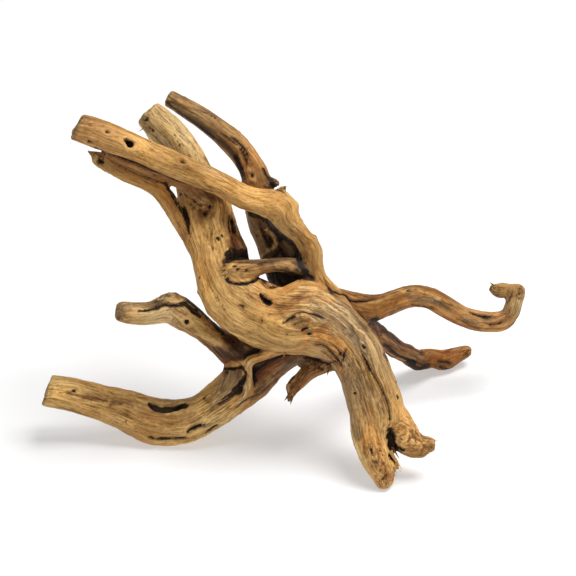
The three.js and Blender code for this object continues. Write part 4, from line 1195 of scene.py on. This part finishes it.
# Painted shade and dark stains with a brown rim, broken up by the fibres, and then the black lines
# of the splits, which are painted shade.
shade_and_stain_mask = kept("wood_dark")
body = (shade_and_stain_mask.smooth(0.05, 0.5) * 0.55).mix(body, opaque(UMBER * 0.8))
ragged = (threads - 0.5) * 1.4 + (flecks - 0.5) * 1.0
shade_and_stain_mask = (shade_and_stain_mask + ragged * shade_and_stain_mask.smooth(0.02, 0.3)).smooth(0.22, 0.8)
body = (shade_and_stain_mask * (threads.smooth(0.3, 0.65) * 0.14 + 0.84)).mix(body, opaque(SHADE_AND_STAIN_BLACK * 0.7))
gape = abs(kept("split_side") + (threads - 0.5) * 2.2) - half_split * (bands + 0.5)
crack = (1 - gape.smooth(-0.3, 0.35)) * half_split.smooth(0.05, 0.3)
body = (crack * 0.92).mix(body, opaque(SHADE_AND_STAIN_BLACK * 0.5))

height = threads * 0.55 + strands * 0.4 + hairs * 0.25 + pores * -0.12
height = height - lines * 0.25 - crack * 0.8 - pits * 0.5 - worn_here * etched * 0.3
bump = sheet.take("ShaderNodeBump", 0, None,
                  Strength=BUMP_STRENGTH, Distance=BUMP_DEPTH * MILLIMETRE, Height=height)
tree.links.new(body.output, shader.inputs["Base Color"])
tree.links.new((hairs * 0.25 + DULLNESS).output, shader.inputs["Roughness"])
tree.links.new(bump.output, shader.inputs["Normal"])
shader.inputs["Specular IOR Level"].default_value = SHEEN
remade.materials.append(wood)

places[:, 2] = np.maximum(places[:, 2], 0)
outward = normals()
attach(root, "root")
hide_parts("spiderwood_root")

# Slivers: thin splinters and bark flakes that still hang on at one end, at the frayed ends and along
# the edges. Each is a tapering wedge sunk into the wood, bent up a little towards its point.
SLIVERS = [
    # half width, root across and down the picture, tip across and down
    (1.4, 103, 154, 90, 150), (1.1, 101, 158, 92, 156), (0.8, 98, 141, 95, 145), (1.2, 226, 272, 218, 277),
    (1, 226, 268, 219, 270), (0.8, 228, 275, 223, 281), (1.7, 391, 452, 401, 471),
    (1.5, 389, 458, 396, 476), (1.2, 393, 448, 399, 460), (1.2, 386, 468, 391, 482),
    (1.4, 318, 364, 313, 373), (1.6, 330, 366, 327, 376), (1.2, 304, 364, 300, 371),
    (0.8, 246, 152, 249, 146), (0.8, 250, 165, 255, 162), (2, 168, 296, 165, 293.5),
    (1.6, 158, 299, 156, 297), (1.8, 184, 300, 186, 297), (1.2, 494, 286, 489, 281),
    (1, 500, 290, 497, 284), (1, 518, 288, 524, 285), (0.6, 144, 128, 137, 133), (0.7, 178, 206, 174, 214),
    (1.5, 290, 394, 284, 401), (1.4, 292, 397, 290, 405), (1.5, 222, 396, 210, 407),
    (1, 466, 352, 472, 349), (1.2, 428, 446, 436, 444), (1, 424, 450, 430, 455), (1, 344, 368, 340, 377),
    (1.3, 262, 350, 256, 357), (1.4, 286, 352, 281, 359), (1.2, 428, 372, 424, 379),
]
SLIVER_SIDES = 5
SLIVER_STEPS = (0.0, 0.3, 0.6, 0.85)
SLIVER_ROOT = 1.2
SLIVER_FLAT = 0.45
SLIVER_CURL = 0.12
SLIVER_TAPER = 0.7
SLIVER_WIDTH = 1.5
LOOSE_SLIVERS = 120
LOOSE_ANYWHERE = 0.03
LOOSE_ON_CRESTS = 0.3
LOOSE_ON_FLAKES = 0.15
LOOSE_LIFT = (0.05, 0.35)
LOOSE_LENGTH = (2.5, 6)
LOOSE_HALF = (0.5, 1.0)
LOOSE_OFF_FLOOR = 12
LOOSE_THICKNESS = 5
LOOSE_OFF_CUT = 0.9
SLIVER_PALER = 1.1
SLIVER_SHADE_AND_STAIN = 0.4
SLIVER_CREST = 0.3
SLIVER_FRAYED = 0.2
sliver_spots = []
sliver_faces = []
sliver_wood = []
sliver_grain = []


def sliver(start, way, normal, length, half):
    """A tapering wedge from a point of the skin, flat side to the wood."""
    side = unit(np.cross(way, normal))
    rise = np.cross(side, way)
    first = len(sliver_spots)
    wood_point = ((places - start) ** 2).sum(1).argmin()
    for share in SLIVER_STEPS:
        centre = start + way * (share * length - SLIVER_ROOT) + rise * SLIVER_CURL * length * share**2
        reach = half * (1 - share) ** SLIVER_TAPER
        for turn in np.arange(SLIVER_SIDES) * math.tau / SLIVER_SIDES:
            across = reach * math.cos(turn)
            over = reach * SLIVER_FLAT * math.sin(turn)
            sliver_spots.append(centre + side * across + rise * over)
            sliver_grain.append((across, over, share * length))
    sliver_spots.append(start + way * length + rise * SLIVER_CURL * length)
    sliver_grain.append((0, 0, length))
    sliver_wood.extend([wood_point] * (len(sliver_spots) - first))
    sliver_faces.append([first + turn for turn in reversed(range(SLIVER_SIDES))])
    for ring in range(len(SLIVER_STEPS)):
        low = first + ring * SLIVER_SIDES
        high = low + SLIVER_SIDES
        for turn in range(SLIVER_SIDES):
            after = (turn + 1) % SLIVER_SIDES
            above = [high + after, high + turn] if ring < len(SLIVER_STEPS) - 1 else [high]
            sliver_faces.append([low + turn, low + after, *above])


skin = skin_now()
for half, across, down, tip_across, tip_down in SLIVERS:
    place, normal = find(across, down)
    way = RIGHT * (tip_across - across) - UPWARD * (tip_down - down)
    sliver(place, unit(way), normal, np.linalg.norm(way), SLIVER_WIDTH * half)
chance = LOOSE_ANYWHERE + frayed + LOOSE_ON_CRESTS * crest + LOOSE_ON_FLAKES * flake_edge
chance *= (places[:, 2] > LOOSE_OFF_FLOOR) * (thickness > LOOSE_THICKNESS) * (rub_share > LOOSE_OFF_CUT)
for index in random.choice(points_total, LOOSE_SLIVERS, replace=False, p=chance / chance.sum()):
    lift = random.uniform(*LOOSE_LIFT)
    way = unit(grain_way[index] * random.choice((-1, 1)) + lift * outward[index])
    length = random.uniform(*LOOSE_LENGTH)
    sliver(places[index], way, outward[index], length, random.uniform(*LOOSE_HALF))

sliver_mesh = bpy.data.meshes.new("slivers")
sliver_mesh.from_pydata([tuple(spot * MILLIMETRE) for spot in sliver_spots], [], sliver_faces)
slivers = bpy.data.objects.new("slivers", sliver_mesh)
bpy.context.scene.collection.objects.link(slivers)
sliver_total = len(sliver_spots)
sliver_corner = corners_of(sliver_mesh)
sliver_colour = np.hstack((colour[sliver_wood] * SLIVER_PALER, np.ones((sliver_total, 1))))
corner_grain = np.array(sliver_grain)[sliver_corner]
keep(sliver_mesh, "POINT", "FLOAT_COLOR", wood_colour=sliver_colour)
# Slivers take part of the painted shade and stain of the wood they hang on.
keep(sliver_mesh, "POINT", "FLOAT", wood_dark=SLIVER_SHADE_AND_STAIN * dark[sliver_wood],
     wood_crest=np.full(sliver_total, SLIVER_CREST), wood_frayed=np.full(sliver_total, SLIVER_FRAYED),
     wood_worn=np.zeros(sliver_total), split_side=np.full(sliver_total, NO_SPLIT),
     split_half=np.zeros(sliver_total))
keep(sliver_mesh, "CORNER", "FLOAT_VECTOR", grain_near=corner_grain, grain_next=corner_grain)
keep(sliver_mesh, "CORNER", "FLOAT", grain_share=np.zeros(len(sliver_corner)))
sliver_mesh.materials.append(wood)
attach(slivers, "root")

# The floor and the light: a plain pale floor, a broad soft lamp overhead and a weaker one in front.
# The floor glows a little, so that it shows as white as the photo's background.
FLOOR_SIDE = 12
PAPER = {
    "Base Color": (0.56, 0.56, 0.56, 1), "Roughness": 0.9,
    "Emission Color": (1, 1, 1, 1), "Emission Strength": 0.41,
}
SKY_STRENGTH = 0.27
LAMP_AIM = Vector((0, 0, 0.12))
LAMPS = [
    # name, place, side length, watts
    ("overhead", (1.1, 0.2, 3.0), 1.7, 118),
    ("front", (-0.6, -2.4, 1.8), 1.4, 10),
]
floor_mesh = bpy.data.meshes.new("floor")
corners = [(-FLOOR_SIDE, -FLOOR_SIDE, 0), (FLOOR_SIDE, -FLOOR_SIDE, 0),
           (FLOOR_SIDE, FLOOR_SIDE, 0), (-FLOOR_SIDE, FLOOR_SIDE, 0)]
floor_mesh.from_pydata(corners, [], [(0, 1, 2, 3)])
floor = bpy.data.objects.new("floor", floor_mesh)
bpy.context.scene.collection.objects.link(floor)
paper = bpy.data.materials.new("paper")
paper.use_nodes = True
for name, value in PAPER.items():
    paper.node_tree.nodes["Principled BSDF"].inputs[name].default_value = value
floor_mesh.materials.append(paper)

world = bpy.data.worlds.new("studio")
world.use_nodes = True
world.node_tree.nodes["Background"].inputs["Color"].default_value = (1, 1, 1, 1)
world.node_tree.nodes["Background"].inputs["Strength"].default_value = SKY_STRENGTH
bpy.context.scene.world = world
for name, place, side_length, watts in LAMPS:
    light = bpy.data.lights.new(name, "AREA")
    light.size = side_length
    light.energy = watts
    lamp = bpy.data.objects.new(name, light)
    lamp.location = place
    lamp.rotation_euler = (LAMP_AIM - Vector(place)).to_track_quat("-Z", "Y").to_euler()
    bpy.context.scene.collection.objects.link(lamp)

bpy.context.scene.view_settings.view_transform = "Standard"
